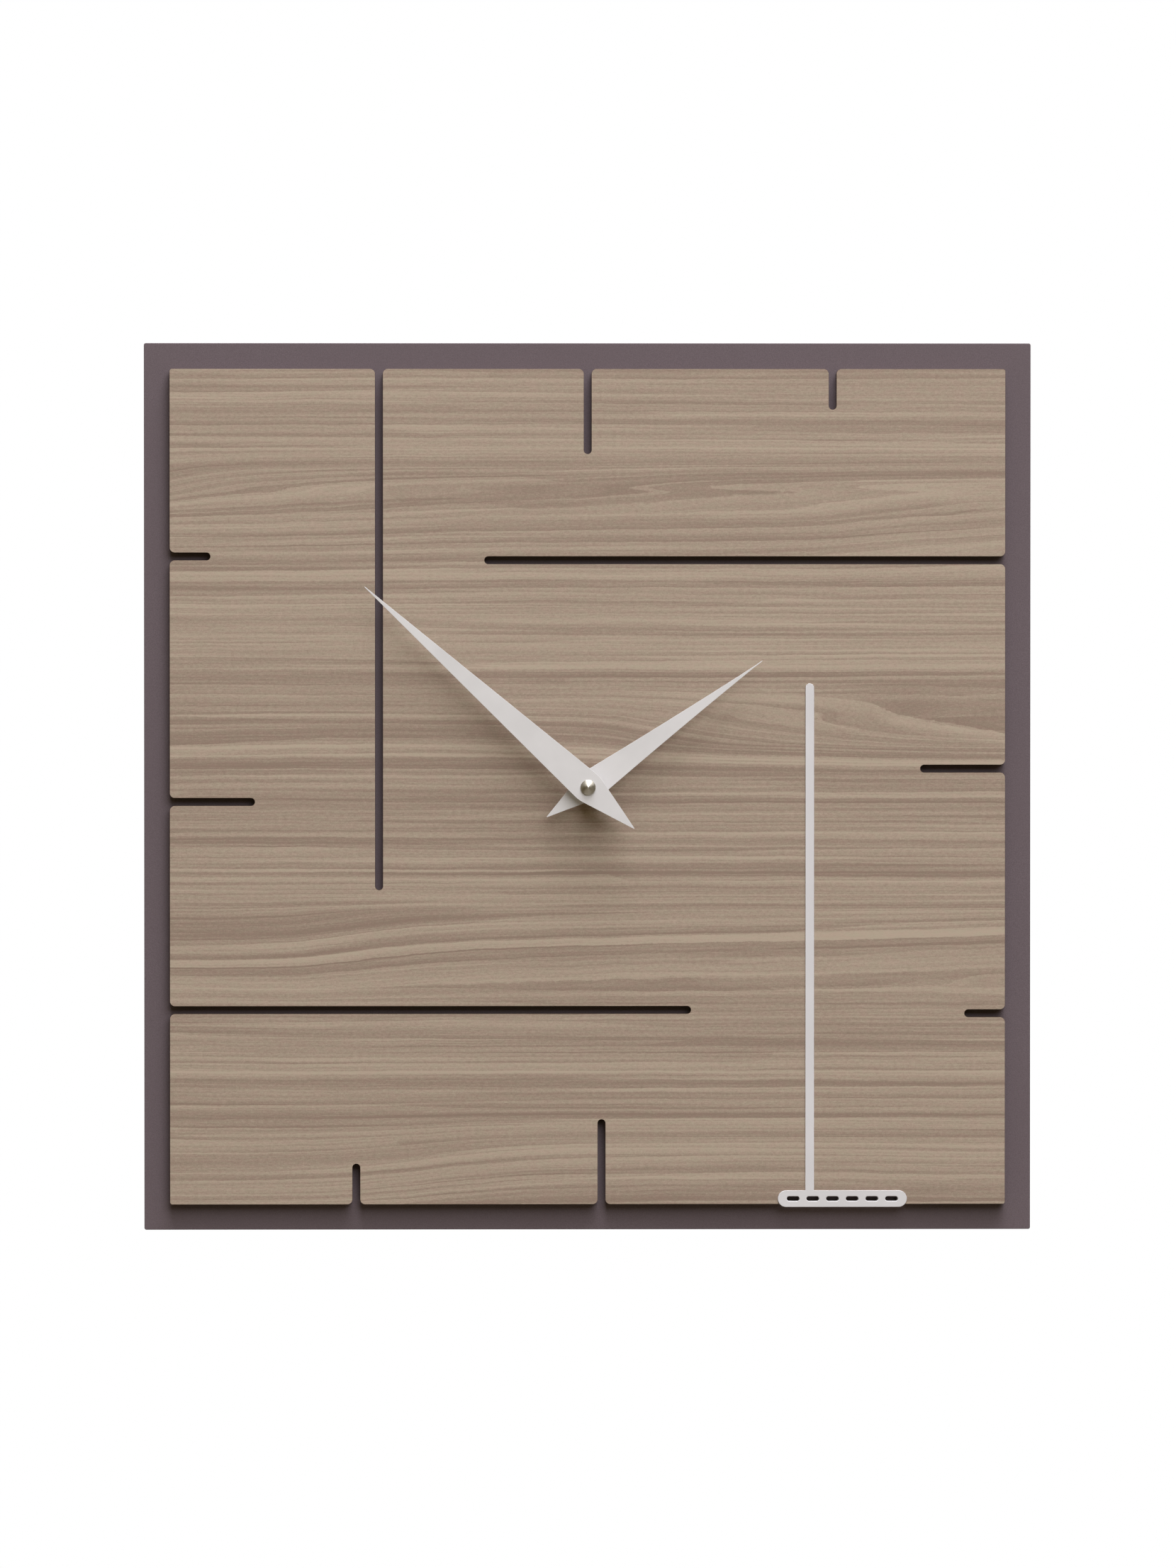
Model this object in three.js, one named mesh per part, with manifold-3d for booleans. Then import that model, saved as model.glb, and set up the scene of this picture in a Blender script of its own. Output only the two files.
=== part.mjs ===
// A square wall clock: a slotted veneered panel on a dark plate, two pale hands, and a quartz movement behind.
// Millimetres. +X is right and +Z is up as seen from the front, the face looks along -Y,
// and the origin is on the wall (y = 0) at the hands' axis.
import * as THREE from "three";
import { mergeVertices } from "three/addons/utils/BufferGeometryUtils.js";
import Module from "manifold-3d";

const wasm = await Module();
wasm.setup();

// ---- driving dimensions ----

const PLATE = { side: 450, thick: 6, corner: 1, hole: 4.4 };
const PANEL = { side: 423.6, thick: 6, corner: 1.2 };

// Slots run in from each edge; "at" is measured from the middle of the side.
const SLOT = { width: 4, mouth: 2.5 };
const DEEP = 264.2;
const MIDDLE = 43.1;
const SHORT = 20.6;
const SLOTS = {
  top: [[-105.8, DEEP], [0, MIDDLE], [124.2, SHORT]],
  right: [[114.9, DEEP], [9.2, MIDDLE], [-115, SHORT]],
  bottom: [[7, MIDDLE], [-117.4, SHORT]],
  left: [[-113.2, DEEP], [-7.6, MIDDLE], [116.8, SHORT]],
};

// The pale piece: a strip that fills the fourth deep slot, on a pierced foot bar.
const STRIP = { at: 112.65, width: 4.35, rise: 0.6 };
const FOOT = { left: 96.5, right: 162, top: -204.9, bottom: -213.3 };
const WINDOW = { count: 6, pitch: 10, length: 6.4, height: 2.4 };
const FIT = 0.05; // clearance all round a piece let into another

const PAD = { radius: 6, thick: 1.5, at: 139 };
const BATTEN = { ring: 300, wide: 22, thick: 18.5, top: 46 };
const KEYHOLE = { entry: 4.7, slot: 2.3, z: 120.5, rise: 11.5 };
const HANGER = { width: 44, tall: 26, thick: 1.2, corner: 4, z: 126, screw: 16 };
const POCKET = { width: 15, bottom: 114, top: 137.5, deep: 10.5, corner: 3 };

const MINUTE = { tip: 152, tail: 31.4, half: 8, widest: -0.5, turn: -48.1 };
const HOUR = { tip: 109.2, tail: 25.8, half: 7.6, widest: 1.5, hollow: 1.7, turn: 54.1 };
const HAND_THICK = 1;

const CASE = { side: 56, corner: 3, wall: 1, floor: 1.2, cover: 1.2 };
const BATTERY = { radius: 7.1, body: 49.3, nub: 1.2, nubRadius: 2.75 };
const BUSH = { radius: 4, bore: 2.65, tip: -35.5 };
const TUBE = { radius: 2.55, bore: 1.65, tip: -41.5 };
const SHAFT = { radius: 1.5, thread: 1.25, shoulder: -44.5, tip: -47.1 };
const CAP = { radius: 3.8, skirt: 0.7, height: 2.9 };
const ARBOR = 0.45;

// Teeth and module of each pair, driver first, in the order that the motion runs.
const ROTOR_PAIR = { pinion: 8, wheel: 48, module: 0.25 };
const SECOND_PAIR = { pinion: 8, wheel: 40, module: 0.3 };
const THIRD_PAIR = { pinion: 8, wheel: 60, module: 21.6 / 68 };
const CENTRE_PAIR = { pinion: 8, wheel: 64, module: 0.3 };
const SETTING_PAIR = { pinion: 12, wheel: 36, module: 0.5 };
const HOUR_PAIR = { pinion: 10, wheel: 40, module: 0.48 };

// ---- the stack, from the wall forwards; front is the lower y ----

const PLATE_BACK = -(PAD.thick + BATTEN.thick);
const PLATE_FRONT = PLATE_BACK - PLATE.thick;
const PANEL_FRONT = PLATE_FRONT - PANEL.thick;
const CASE_FRONT = -19; // leaves 1 mm behind the plate for the gasket
const CASE_FLOOR = CASE_FRONT + CASE.floor;
const CASE_RIM = -4.2;
const COVER_BACK = CASE_RIM + CASE.cover;

// Each layer of the movement is [back, front].
const LAYER = {
  hour: [-16.5, -17.5],
  setting: [-14.8, -15.8],
  plate: [-13.5, -14.3],
  centre: [-12.3, -13.1],
  third: [-11.1, -11.8],
  second: [-9.9, -10.6],
  intermediate: [-8.7, -9.4],
  rotor: [-6, -8.2],
  stator: [-7.3, -8.1],
  board: [-6.7, -7.5],
};

// ---- where each arbor stands, as [x, z] ----

const spacing = (pair) => ((pair.pinion + pair.wheel) * pair.module) / 2;
const AXIS = [0, 0];
const SETTING_AT = polar(AXIS, spacing(SETTING_PAIR), 180);
const THIRD_AT = polar(AXIS, spacing(THIRD_PAIR), 100);
const INTERMEDIATE_AT = polar(AXIS, spacing(SECOND_PAIR), 20);
const ROTOR_AT = polar(INTERMEDIATE_AT, spacing(ROTOR_PAIR), 10);

function polar([x, z], distance, degrees) {
  const angle = THREE.MathUtils.degToRad(degrees);
  return [x + distance * Math.cos(angle), z + distance * Math.sin(angle)];
}

// ---- materials ----

const finish = (color, roughness, metalness = 0) => new THREE.MeshStandardMaterial({ color, roughness, metalness });
const VENEER = finish(0x9d8b7b, 0.6);
const LACQUER = finish(0x65585d, 0.6);
const PALE = finish(0xd2cdcb, 0.45);
const HAND_PAINT = finish(0xd0ccc9, 0.5);
const PINE = finish(0xc9ab7c, 0.7);
const FELT = finish(0x3b3835, 0.95);
const STEEL = finish(0xb4b1ab, 0.35, 0.9);
const BRASS = finish(0xb9974f, 0.3, 0.9);
const COPPER = finish(0xb06a3b, 0.35, 0.9);
const RUBBER = finish(0x262525, 0.85);
const CASE_PLASTIC = finish(0x232427, 0.5);
const WHEEL_PLASTIC = finish(0xe6e2d6, 0.45);
const KNOB_PLASTIC = finish(0xd8d6d0, 0.45);
const BOARD = finish(0x2f6b46, 0.55);
const EPOXY = finish(0x141414, 0.35);
const MAGNET = finish(0x4a4a4d, 0.4, 0.6);
const WRAPPER = finish(0x3a5f8a, 0.35);

// ---- solids ----

// A closed three.js geometry as a manifold solid, for joining and cutting.
function solid(geometry) {
  geometry.deleteAttribute("normal");
  geometry.deleteAttribute("uv");
  const merged = mergeVertices(geometry, 1e-4);
  const corners = merged.index.array;
  const triVerts = [];
  for (let i = 0; i < corners.length; i += 3) {
    const [a, b, c] = [corners[i], corners[i + 1], corners[i + 2]];
    if (a !== b && b !== c && c !== a) triVerts.push(a, b, c);
  }
  const mesh = { numProp: 3, vertProperties: merged.attributes.position.array, triVerts: new Uint32Array(triVerts) };
  return new wasm.Manifold(new wasm.Mesh(mesh));
}

// A flat outline in X and Z, from y = back to y = front. An arc gets twice as many sides as curveSegments.
function prism(shape, [back, front], curveSegments = 3) {
  const options = { depth: back - front, bevelEnabled: false, curveSegments };
  return solid(new THREE.ExtrudeGeometry(shape, options).rotateX(Math.PI / 2).translate(0, back, 0));
}

// A solid turned about Y from [radius, y] points.
function turned(profile, sides = 24) {
  const points = profile.map(([radius, y]) => new THREE.Vector2(radius, y));
  if (THREE.ShapeUtils.area(points) < 0) points.reverse();
  if (points[0].x > 0) points.push(points[0].clone());
  return solid(new THREE.LatheGeometry(points, sides));
}

const rod = (radius, [back, front], sides = 24) =>
  turned([[0, front], [radius, front], [radius, back], [0, back]], sides);

const ring = (outer, inner, [back, front], sides = 24) =>
  turned([[inner, front], [outer, front], [outer, back], [inner, back]], sides);

// A solid moved in the plane of the face.
const moved = (body, [x, z]) => body.translate([x, 0, z]);

// ---- outlines ----

function rectangle(left, right, bottom, top, corner = 0) {
  const shape = new THREE.Shape();
  if (corner === 0) {
    shape.moveTo(left, bottom);
    shape.lineTo(right, bottom);
    shape.lineTo(right, top);
    shape.lineTo(left, top);
    return shape;
  }
  shape.absarc(right - corner, top - corner, corner, 0, Math.PI / 2);
  shape.absarc(left + corner, top - corner, corner, Math.PI / 2, Math.PI);
  shape.absarc(left + corner, bottom + corner, corner, Math.PI, 1.5 * Math.PI);
  shape.absarc(right - corner, bottom + corner, corner, 1.5 * Math.PI, 2 * Math.PI);
  return shape;
}

const square = (side, corner) => rectangle(-side / 2, side / 2, -side / 2, side / 2, corner);

// The panel's outline. Each side is drawn in turn, in its own axes: "along" runs with the outline,
// anticlockwise from the front, and "inward" points to the middle.
function panelOutline() {
  const half = PANEL.side / 2;
  const width = SLOT.width / 2;
  const sides = [
    { slots: SLOTS.bottom, along: [1, 0], inward: [0, 1] },
    { slots: SLOTS.right, along: [0, 1], inward: [-1, 0] },
    { slots: SLOTS.top, along: [-1, 0], inward: [0, -1] },
    { slots: SLOTS.left, along: [0, -1], inward: [1, 0] },
  ];
  const points = [];
  for (const { slots, along, inward } of sides) {
    const put = (a, b) => {
      const x = along[0] * a + inward[0] * (b - half);
      const z = along[1] * a + inward[1] * (b - half);
      points.push(new THREE.Vector2(x, z));
    };
    const arc = (a, b, radius, from, to, steps) => {
      for (let i = 0; i <= steps; i++) {
        const angle = THREE.MathUtils.degToRad(from + ((to - from) * i) / steps);
        put(a + radius * Math.cos(angle), b + radius * Math.sin(angle));
      }
    };
    const sign = along[0] + along[1];
    const ordered = slots.map(([at, depth]) => [at * sign, depth]).sort((p, q) => p[0] - q[0]);
    arc(-half + PANEL.corner, PANEL.corner, PANEL.corner, 225, 270, 2);
    for (const [at, depth] of ordered) {
      arc(at - width - SLOT.mouth, SLOT.mouth, SLOT.mouth, 270, 360, 2);
      arc(at, depth - width, width, 180, 0, 4);
      arc(at + width + SLOT.mouth, SLOT.mouth, SLOT.mouth, 180, 270, 2);
    }
    arc(half - PANEL.corner, PANEL.corner, PANEL.corner, 270, 315, 2);
  }
  return new THREE.Shape(points);
}

// The strip and its foot in one outline, grown all round by "grow".
function accentOutline(grow) {
  const middle = (FOOT.top + FOOT.bottom) / 2;
  const end = (FOOT.top - FOOT.bottom) / 2;
  const half = STRIP.width / 2;
  const top = -PANEL.side / 2 + DEEP - half;
  const shape = new THREE.Shape();
  shape.absarc(FOOT.right - end, middle, end + grow, -Math.PI / 2, Math.PI / 2);
  shape.lineTo(STRIP.at + half + grow, FOOT.top + grow);
  shape.absarc(STRIP.at, top, half + grow, 0, Math.PI);
  shape.lineTo(STRIP.at - half - grow, FOOT.top + grow);
  shape.absarc(FOOT.left + end, middle, end + grow, Math.PI / 2, 1.5 * Math.PI);
  return shape;
}

// A slot with round ends, centred on [x, z].
function obround(x, z, length, height) {
  const radius = height / 2;
  const reach = length / 2 - radius;
  const path = new THREE.Path();
  path.absarc(x + reach, z, radius, -Math.PI / 2, Math.PI / 2);
  path.absarc(x - reach, z, radius, Math.PI / 2, 1.5 * Math.PI);
  return path;
}

function keyholeOutline() {
  const { entry, slot, z, rise } = KEYHOLE;
  const meet = Math.acos(slot / entry);
  const path = new THREE.Path();
  path.absarc(0, z, entry, Math.PI - meet, 2 * Math.PI + meet);
  path.absarc(0, z + rise, slot, 0, Math.PI);
  return path;
}

function circle(radius, [x, z] = AXIS) {
  return new THREE.Path().absarc(x, z, radius, 0, 2 * Math.PI);
}

// Half of a hand is listed from tip to tail as [half width, distance along the hand].
function handOutline(half) {
  const right = half.map(([width, along]) => new THREE.Vector2(width, along));
  const left = half.slice(1, -1).reverse().map(([width, along]) => new THREE.Vector2(-width, along));
  return new THREE.Shape([...right, ...left].reverse());
}

function minuteOutline() {
  const { tip, tail, half, widest } = MINUTE;
  const nose = 0.35;
  return handOutline([
    [0, tip],
    [nose / 2, tip - nose],
    [half - 0.15, widest + 2.5],
    [half, widest],
    [half - 0.5, widest - 2],
    [nose, -tail + nose],
    [0, -tail],
  ]);
}

function hourOutline() {
  const { tip, tail, half, widest, hollow } = HOUR;
  const nose = 0.35;
  const steps = 8;
  const edge = [];
  for (let i = steps - 1; i > 0; i--) {
    const u = i / steps;
    edge.push([half * (1 - u) - hollow * u * (1 - u), widest + u * (tip - widest)]);
  }
  const shoulder = [[half, widest], [half - 0.7, widest - 2.5]];
  const point = [[nose, -tail + nose], [0, -tail]];
  return handOutline([[0, tip], [nose / 2, tip - nose], ...edge, ...shoulder, ...point]);
}

// ---- gears ----

const PRESSURE = THREE.MathUtils.degToRad(20);
const ADDENDUM = 0.8; // stub teeth, in modules
const DEDENDUM = 1.25;
const TOOTH = 0.86; // share of half a pitch, the rest is backlash

// A gear's outline, with a tooth centred on "phase": straight flanks between two points of the involute.
function gearOutline(teeth, module, phase) {
  const pitch = (teeth * module) / 2;
  const base = pitch * Math.cos(PRESSURE);
  const root = pitch - DEDENDUM * module;
  const tip = pitch + ADDENDUM * module;
  const radii = [root, tip];
  const involute = (angle) => Math.tan(angle) - angle;
  const halfAngle = (radius) => {
    const flank = involute(Math.acos(base / Math.max(radius, base)));
    return (TOOTH * Math.PI) / (2 * teeth) + involute(PRESSURE) - flank;
  };
  const points = [];
  const put = (radius, angle) => points.push(new THREE.Vector2(radius * Math.cos(angle), radius * Math.sin(angle)));
  for (let i = 0; i < teeth; i++) {
    const middle = phase + (2 * Math.PI * i) / teeth;
    for (const radius of radii) put(radius, middle - halfAngle(radius));
    for (const radius of radii.toReversed()) put(radius, middle + halfAngle(radius));
  }
  return new THREE.Shape(points);
}

// The phase of a wheel at "to" that is in mesh with a pinion at "from" whose tooth is at angle 0.
function meshed(pair, from, to) {
  const angle = Math.atan2(to[1] - from[1], to[0] - from[0]);
  return angle + Math.PI - (Math.PI - angle * pair.pinion) / pair.wheel;
}

const pinionOf = (pair, span) => prism(gearOutline(pair.pinion, pair.module, 0), span);
const wheelOf = (pair, span, from, to) => prism(gearOutline(pair.wheel, pair.module, meshed(pair, from, to)), span);

// ---- the group ----

const clock = new THREE.Group();

// Adds a solid as a named mesh. "at" is its [x, z] and "turn" is degrees clockwise from the front.
function add(name, body, material, at = AXIS, turn = 0) {
  const { vertProperties, triVerts } = body.getMesh();
  const geometry = new THREE.BufferGeometry();
  geometry.setAttribute("position", new THREE.BufferAttribute(vertProperties, 3));
  geometry.setIndex(new THREE.BufferAttribute(triVerts, 1));
  const mesh = new THREE.Mesh(geometry, material);
  mesh.name = name;
  mesh.position.set(at[0], 0, at[1]);
  mesh.rotation.y = THREE.MathUtils.degToRad(turn);
  clock.add(mesh);
}

// ---- face ----

function addFace() {
  const span = [PLATE_FRONT, PANEL_FRONT];
  const panel = prism(panelOutline(), span)
    .subtract(prism(accentOutline(FIT), [PLATE_FRONT + 1, PANEL_FRONT - 1]))
    .subtract(rod(PLATE.hole, [PLATE_FRONT + 1, PANEL_FRONT - 1]));
  add("face_panel", panel, VENEER);

  const accent = accentOutline(0);
  const middle = (FOOT.left + FOOT.right) / 2;
  for (let i = 0; i < WINDOW.count; i++) {
    const x = middle + (i - (WINDOW.count - 1) / 2) * WINDOW.pitch;
    accent.holes.push(obround(x, (FOOT.top + FOOT.bottom) / 2, WINDOW.length, WINDOW.height));
  }
  add("accent_strip", prism(accent, [PLATE_FRONT, PANEL_FRONT - STRIP.rise]), PALE);
}

// ---- back plate and its frame of battens ----

// Countersunk wood screw with a cross recess, its head flush with y = back.
const SCREW = { head: 3.6, rim: 0.3, radius: 1.75, clearance: 0.1, length: 22.5, point: 2, sides: 12 };
const SMALL_SCREW = { head: 2.8, rim: 0.2, radius: 1.45, clearance: 0.1, length: 12, point: 1.5, sides: 12 };

function screw({ head, rim, radius, length, point, sides }, back) {
  const taper = back - rim - (head - radius);
  const body = turned(
    [[0, back - length], [radius, back - length + point], [radius, taper], [head, back - rim], [head, back], [0, back]],
    sides,
  );
  const arm = new THREE.BoxGeometry(head * 1.1, 1.6, head * 0.22).translate(0, back, 0);
  const cross = new THREE.BoxGeometry(head * 0.22, 1.6, head * 1.1).translate(0, back, 0);
  return body.subtract(solid(arm).add(solid(cross)));
}

// The hole that such a screw sits in: a countersink and a straight bore to past its point.
function screwHole({ head, rim, radius, clearance, length, sides }, back) {
  const bore = radius + clearance;
  const rimRadius = head + clearance;
  const end = back - length - 0.4;
  const taper = back - rim - (rimRadius - bore);
  return turned(
    [[0, end], [bore, end], [bore, taper], [rimRadius, back - rim], [rimRadius, back + 1], [0, back + 1]],
    sides,
  );
}

function battenScrewPlaces() {
  const middle = BATTEN.ring / 2 - BATTEN.wide / 2;
  const topMiddle = BATTEN.ring / 2 - BATTEN.top / 2;
  const across = [-110, 110];
  return [
    ...across.map((x) => [x, topMiddle]),
    ...across.map((x) => [x, -middle]),
    ...[60, -85].flatMap((z) => [[-middle, z], [middle, z]]),
  ];
}

function addBackFrame() {
  const places = battenScrewPlaces();
  const battenBack = -PAD.thick;
  const headBack = battenBack - 0.1;
  const holes = places.map((at) => moved(screwHole(SCREW, headBack), at));
  const drilled = (body) => holes.reduce((rest, hole) => rest.subtract(hole), body);

  const plate = prism(square(PLATE.side, PLATE.corner), [PLATE_BACK, PLATE_FRONT], 1)
    .subtract(rod(PLATE.hole, [PLATE_BACK + 1, PLATE_FRONT - 1]));
  add("back_plate", drilled(plate), LACQUER);

  const span = [battenBack, PLATE_BACK];
  const outer = BATTEN.ring / 2;
  const inner = outer - BATTEN.wide;
  const under = outer - BATTEN.top;
  const hangerHoles = [-HANGER.screw, HANGER.screw].map((x) => moved(screwHole(SMALL_SCREW, -0.35), [x, HANGER.z]));
  const pocket = rectangle(-POCKET.width / 2, POCKET.width / 2, POCKET.bottom, POCKET.top, POCKET.corner);
  const top = drilled(prism(rectangle(-outer, outer, under, outer), span))
    .subtract(prism(pocket, [battenBack + 1, battenBack - POCKET.deep], 1))
    .subtract(hangerHoles[0])
    .subtract(hangerHoles[1]);
  add("batten_top", top, PINE);
  add("batten_bottom", drilled(prism(rectangle(-outer, outer, -outer, -inner), span)), PINE);
  add("batten_left", drilled(prism(rectangle(-outer, -inner, -inner, under), span)), PINE);
  add("batten_right", drilled(prism(rectangle(inner, outer, -inner, under), span)), PINE);
  places.forEach((at, i) => add(`batten_screw_${i + 1}`, screw(SCREW, headBack), STEEL, at));

  const { width, tall, z, corner, thick } = HANGER;
  const plateShape = rectangle(-width / 2, width / 2, z - tall / 2, z + tall / 2, corner);
  plateShape.holes.push(keyholeOutline());
  const hanger = prism(plateShape, [battenBack + thick, battenBack])
    .subtract(hangerHoles[0])
    .subtract(hangerHoles[1]);
  add("hanger_plate", hanger, STEEL);
  [-HANGER.screw, HANGER.screw].forEach((x, i) => {
    add(`hanger_screw_${i + 1}`, screw(SMALL_SCREW, battenBack + thick - 0.05), STEEL, [x, z]);
  });

  let pad = 0;
  for (const x of [-PAD.at, PAD.at]) {
    for (const z2 of [-PAD.at, PAD.at]) add(`wall_pad_${++pad}`, rod(PAD.radius, [0, -PAD.thick]), FELT, [x, z2]);
  }
}

// ---- movement case, fixing and battery ----

const POST = 0.5; // the fixed pin that the intermediate wheel turns on
const BAY = { bottom: -27, top: -12.4 };
const TRAIN_FLOOR = -11;
const CORNER_POSTS = [[-25, 25], [25, 25], [-25, -9], [25, -9]];

function addCase() {
  const half = CASE.side / 2;
  const inside = half - CASE.wall;
  const cut = [CASE_RIM + 1, CASE_FLOOR];
  let front = prism(square(CASE.side, CASE.corner), [CASE_RIM, CASE_FRONT], 2)
    .subtract(prism(rectangle(-inside, inside, TRAIN_FLOOR, inside, 2), cut, 1))
    .subtract(prism(rectangle(-inside, inside, BAY.bottom, BAY.top), cut))
    .add(rod(BUSH.radius, [CASE_FLOOR - 0.5, BUSH.tip]));
  for (const at of CORNER_POSTS) front = front.add(moved(rod(1.4, [LAYER.plate[1], CASE_FLOOR - 0.5], 12), at));
  front = front
    .subtract(rod(BUSH.bore, [CASE_FLOOR + 1, BUSH.tip - 1]))
    .subtract(moved(rod(0.6, [CASE_FLOOR + 1, CASE_FLOOR - 0.8], 12), SETTING_AT));
  add("case_front", front, CASE_PLASTIC);

  const cover = prism(rectangle(-half, half, TRAIN_FLOOR - 0.7, half, 2), [COVER_BACK, CASE_RIM], 2);
  const boss = ([x, z]) => moved(rod(1.3, [CASE_RIM + 0.5, CASE_RIM - 1.4], 12), [x, z]);
  const socket = ([x, z]) => moved(rod(0.6, [CASE_RIM - 0.4, CASE_RIM - 2], 12), [x, z]);
  let back = cover.subtract(moved(rod(KNOB.hole, [COVER_BACK + 1, CASE_RIM - 1]), SETTING_AT));
  for (const at of [AXIS, THIRD_AT, ROTOR_AT]) back = back.add(boss(at)).subtract(socket(at));
  const shoulder = LAYER.intermediate[0] + 0.3;
  back = back
    .add(moved(rod(1.4, [CASE_RIM + 0.5, shoulder], 12), INTERMEDIATE_AT))
    .add(moved(rod(POST, [CASE_RIM + 0.5, -10.6], 12), INTERMEDIATE_AT));
  for (const at of STATOR_POSTS) back = back.add(moved(rod(1, [CASE_RIM + 0.5, LAYER.stator[0]], 12), at));
  for (const at of BOARD_POSTS) back = back.add(moved(rod(1, [CASE_RIM + 0.5, LAYER.board[0]], 12), at));
  add("case_back", back, CASE_PLASTIC);

  add("gasket", ring(11, BUSH.radius + 0.4, [PLATE_BACK + 1, PLATE_BACK], 16), RUBBER);
  add("washer", ring(6.4, BUSH.radius + 0.15, [PANEL_FRONT, PANEL_FRONT - 0.6]), BRASS);
  const hexagon = new THREE.Shape();
  for (let i = 0; i < 6; i++) {
    const [x, z] = polar(AXIS, 6.3, 60 * i);
    if (i === 0) hexagon.moveTo(x, z);
    else hexagon.lineTo(x, z);
  }
  const nut = prism(hexagon, [PANEL_FRONT - 0.6, PANEL_FRONT - 3.1]);
  add("hex_nut", nut.subtract(rod(BUSH.radius + 0.15, [PANEL_FRONT, PANEL_FRONT - 4])), BRASS);
}

function addBattery() {
  const { radius, body, nub, nubRadius } = BATTERY;
  const start = -(body + nub) / 2;
  const profile = [
    [0, start], [radius - 0.8, start], [radius, start + 0.6], [radius, start + body - 0.6],
    [radius - 0.6, start + body], [nubRadius, start + body], [nubRadius, start + body + nub], [0, start + body + nub],
  ];
  const y = CASE_FLOOR + 0.2 + radius;
  const z = (BAY.top + BAY.bottom) / 2;
  add("battery", turned(profile, 18).rotate([0, 0, -90]).translate([0, y, 0]), WRAPPER, [0, z]);

  const plus = new THREE.BoxGeometry(0.4, 10, 8).translate(26.2, y, z);
  add("positive_contact", solid(plus), STEEL);
  // A leaf bowed towards the cell, seen along Z.
  const leaf = new THREE.Shape(
    [[-26.9, y - 5], [-26.5, y - 5], [-25.4, y], [-26.5, y + 5], [-26.9, y + 5], [-25.9, y]]
      .map(([a, b]) => new THREE.Vector2(a, b)),
  );
  const width = 6;
  const bent = new THREE.ExtrudeGeometry(leaf, { depth: width, bevelEnabled: false }).translate(0, 0, z - width / 2);
  add("negative_contact", solid(bent), STEEL);
}

// ---- stepping motor and circuit ----

const COIL = { left: 5.8, right: 21.2, z: 22.5, flange: 2.6, flangeThick: 0.8, core: 1.2, winding: 2.2 };
const STATOR_POSTS = [[4.3, 22.5], [22.7, 22.5]];
const BOARD_POSTS = [[-24, 24], [-14.5, 24]];
const KNOB = { radius: 5, hole: 5.6, front: -5.8, back: -2, ribs: 24 };

function addMotor() {
  const { left, right, z, flange, flangeThick, core, winding } = COIL;
  const y = (LAYER.stator[0] + LAYER.stator[1]) / 2;
  const length = right - left;
  const alongX = (body) => body.rotate([0, 0, -90]).translate([left, y, 0]);
  const spool = [
    [0, 0], [flange, 0], [flange, flangeThick], [core, flangeThick],
    [core, length - flangeThick], [flange, length - flangeThick], [flange, length], [0, length],
  ];
  add("coil_bobbin", alongX(turned(spool, 12)), WHEEL_PLASTIC, [0, z]);
  const wire = ring(winding, core + FIT, [length - flangeThick - FIT, flangeThick + FIT], 12);
  add("coil_winding", alongX(wire), COPPER, [0, z]);

  // Two arms from the rotor's pole block up to the ends of the coil.
  const arms = [
    [9.2, 0], [18.2, 0], [18.2, 8], [24, 18], [24, 25], [21.5, 25], [21.5, 19],
    [15.6, 9.5], [11.8, 9.5], [5.5, 19], [5.5, 25], [3, 25], [3, 18], [9.2, 8],
  ];
  const shape = new THREE.Shape(arms.map(([x, h]) => new THREE.Vector2(x, h)));
  shape.holes.push(circle(3.1, ROTOR_AT));
  add("stator", prism(shape, LAYER.stator, 6), STEEL);

  add("rotor_magnet", ring(2.6, 0.8, LAYER.rotor, 12), MAGNET, ROTOR_AT);
  const pinion = pinionOf(ROTOR_PAIR, [-8.5, -9.6])
    .add(rod(0.7, [LAYER.rotor[0], -8.6], 12))
    .add(rod(ARBOR, [CASE_RIM - 0.55, LAYER.plate[1] + 0.3], 12));
  add("rotor_pinion", pinion, WHEEL_PLASTIC, ROTOR_AT);
}

function addCircuit() {
  add("circuit_board", prism(rectangle(-26, -12.5, 12.5, 26), LAYER.board), BOARD);
  const face = LAYER.board[1];
  add("chip", turned([[0, face], [2.6, face], [2.3, face - 0.7], [1.4, face - 1.2], [0, face - 1.3]], 16), EPOXY, [-22, 18]);
  const can = turned([[0, -3], [1, -3], [1, 2.7], [0.7, 3], [0, 3]], 12).rotate([90, 0, 0]);
  add("quartz_crystal", can.translate([0, face - 1.1, 0]), STEEL, [-15.5, 18]);
}

// ---- time train ----

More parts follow.
